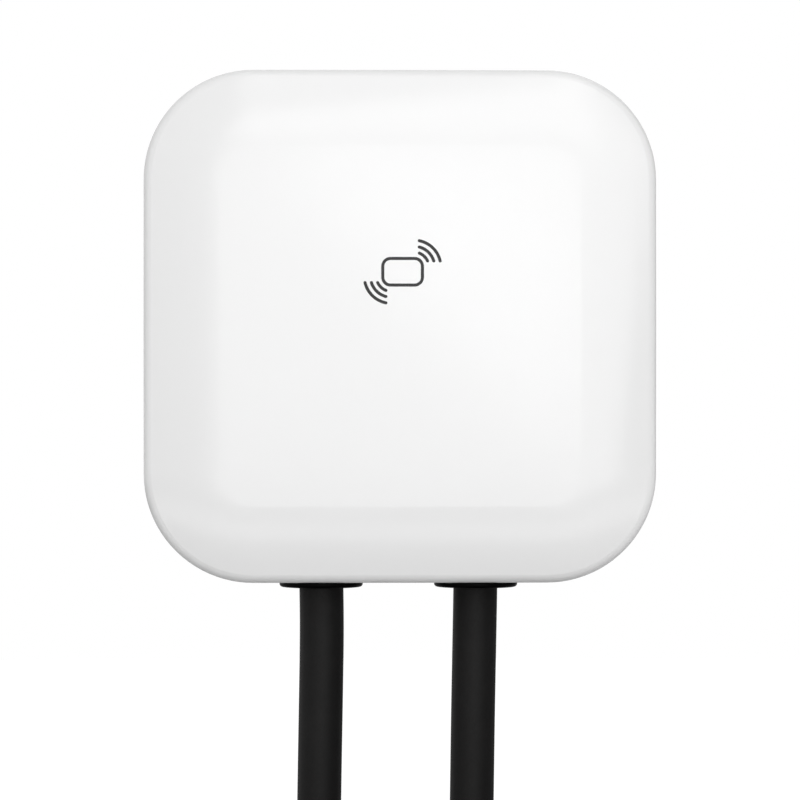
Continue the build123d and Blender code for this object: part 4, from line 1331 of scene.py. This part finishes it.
@dataclass(frozen=True)
class Lamp:
    """A rectangular area lamp, whose radiance is how bright its surface is, where 1 is white."""

    name: str
    place: Point
    size: Pair
    radiance: float
    target: Point = (0.0, -0.05, 0.0)
    roll: float = 0.0

    def build(self) -> None:
        """Add the lamp, hidden from the camera itself."""
        data = bpy.data.lights.new(self.name, "AREA")
        data.shape = "RECTANGLE"
        data.size, data.size_y = self.size
        data.energy = self.radiance * math.pi * self.size[0] * self.size[1]
        lamp = put(self.name, data)
        lamp.location = self.place
        aim = (Vector(self.target) - Vector(self.place)).to_track_quat("-Z", "Y")
        lamp.rotation_euler = (aim.to_matrix() @ Matrix.Rotation(math.radians(self.roll), 3, "Z")).to_euler()
        lamp.visible_camera = False


@dataclass(frozen=True)
class Studio:
    """Camera, lamps, floor and background."""

    camera_place: Point = (-0.030, -1.362, -0.027)
    target: Point = (0.0, -0.062, -0.027)
    field: float = 12.92
    sensor: float = 36.0
    clip: Pair = (0.01, 30.0)
    floor_level: float = -0.2871
    floor_radius: float = 2.2
    floor_sides: int = 96
    floor_tones: Pair = (0.69, 0.71)
    floor_glow: float = 0.66
    ambient: float = 0.54
    wall_range: Pair = (0.25, 0.65)
    wall_shade: float = 0.85
    lamps: tuple[Lamp, ...] = (
        Lamp("softbox", (0.587, -1.96, 0.537), (1.4, 1.4), 1.76, target=(0.587, 0.0, 0.537), roll=43.3),
        Lamp("front_panel", (0.0, -3.05, 0.0), (1.0, 1.0), 2.25),
        Lamp("high_panel", (0.242, -2.821, 1.124), (1.4, 1.0), 1.15),
        Lamp("top_panel", (0.27, -1.582, 1.556), (1.4, 1.0), 1.3),
        Lamp("low_strip", (0.0, -0.7, -0.25), (1.4, 0.1), 1.31, target=(0.0, -0.05, -0.05)),
    )

    def build(self) -> None:
        """Build the studio around the box."""
        self.build_camera()
        self.build_world()
        self.build_floor()
        for lamp in self.lamps:
            lamp.build()
        bpy.context.scene.view_settings.view_transform = "Standard"

    def build_camera(self) -> None:
        """Place the camera level and in front of the cover."""
        data = bpy.data.cameras.new("camera")
        data.sensor_width = self.sensor
        data.lens = self.sensor / 2 / math.tan(math.radians(self.field / 2))
        data.clip_start, data.clip_end = self.clip
        camera = put("camera", data)
        camera.location = self.camera_place
        look = Vector(self.target) - Vector(self.camera_place)
        camera.rotation_euler = look.to_track_quat("-Z", "Y").to_euler()
        bpy.context.scene.camera = camera

    def build_world(self) -> None:
        """White for the camera, gloss and glass, darker to gloss on the right, and a soft grey for the light."""
        world = bpy.data.worlds.new("studio")
        world.use_nodes = True
        nodes = Nodes(world.node_tree)
        nodes.tree.nodes.clear()
        rays = nodes.add("ShaderNodeLightPath").outputs
        seen = nodes.combine("MAXIMUM", rays["Is Camera Ray"], rays["Is Glossy Ray"])
        seen = nodes.combine("MAXIMUM", seen, rays["Is Transmission Ray"])
        place = nodes.add("ShaderNodeTexCoord").outputs["Generated"]
        across = nodes.add("ShaderNodeSeparateXYZ", {0: place}).outputs["X"]
        wall = nodes.span(across, 0.0, self.wall_shade, self.wall_range, "SMOOTHSTEP")
        strength = nodes.combine("SUBTRACT", 1.0, nodes.combine("MULTIPLY", wall, rays["Is Glossy Ray"]))
        white = nodes.add("ShaderNodeBackground", {"Color": WHITE, "Strength": strength})
        ambient = nodes.add("ShaderNodeBackground", {"Color": WHITE, "Strength": self.ambient})
        mix = nodes.add("ShaderNodeMixShader", {"Fac": seen, 1: ambient.outputs[0], 2: white.outputs[0]})
        nodes.add("ShaderNodeOutputWorld", {"Surface": mix.outputs[0]})
        bpy.context.scene.world = world

    def build_floor(self) -> None:
        """A pale floor that keeps the shadow and looks white to the camera."""
        mesh = bpy.data.meshes.new("floor")
        net = bmesh.new()
        bmesh.ops.create_circle(net, cap_ends=True, radius=self.floor_radius, segments=self.floor_sides)
        bmesh.ops.translate(net, verts=net.verts, vec=UP * self.floor_level)
        net.to_mesh(mesh)
        net.free()
        shader = Shader("floor_paper")
        camera = shader.add("ShaderNodeLightPath").outputs["Is Camera Ray"]
        fibre = shader.span(shader.value(Noise(0.004, 3)), 0, 1)
        shader.set(
            Base_Color=shader.between(fibre, *((tone, tone, tone) for tone in self.floor_tones)),
            Roughness=0.9,
            Specular_IOR_Level=0.1,
            Emission_Color=WHITE,
            Emission_Strength=shader.span(camera, 0.0, self.floor_glow, (0, 1)),
        )
        mesh.materials.append(shader.material)
        put("floor", mesh)


def main() -> None:
    """Build the studio, the leads and the finishes in order."""
    logging.basicConfig(level=logging.INFO, format="%(name)s: %(message)s")
    Studio().build()
    finishes = Finishes()
    finishes.dress_frame()
    CardSymbol().build(finishes)
    Leads().build(finishes)


if __name__ == "__main__":
    main()
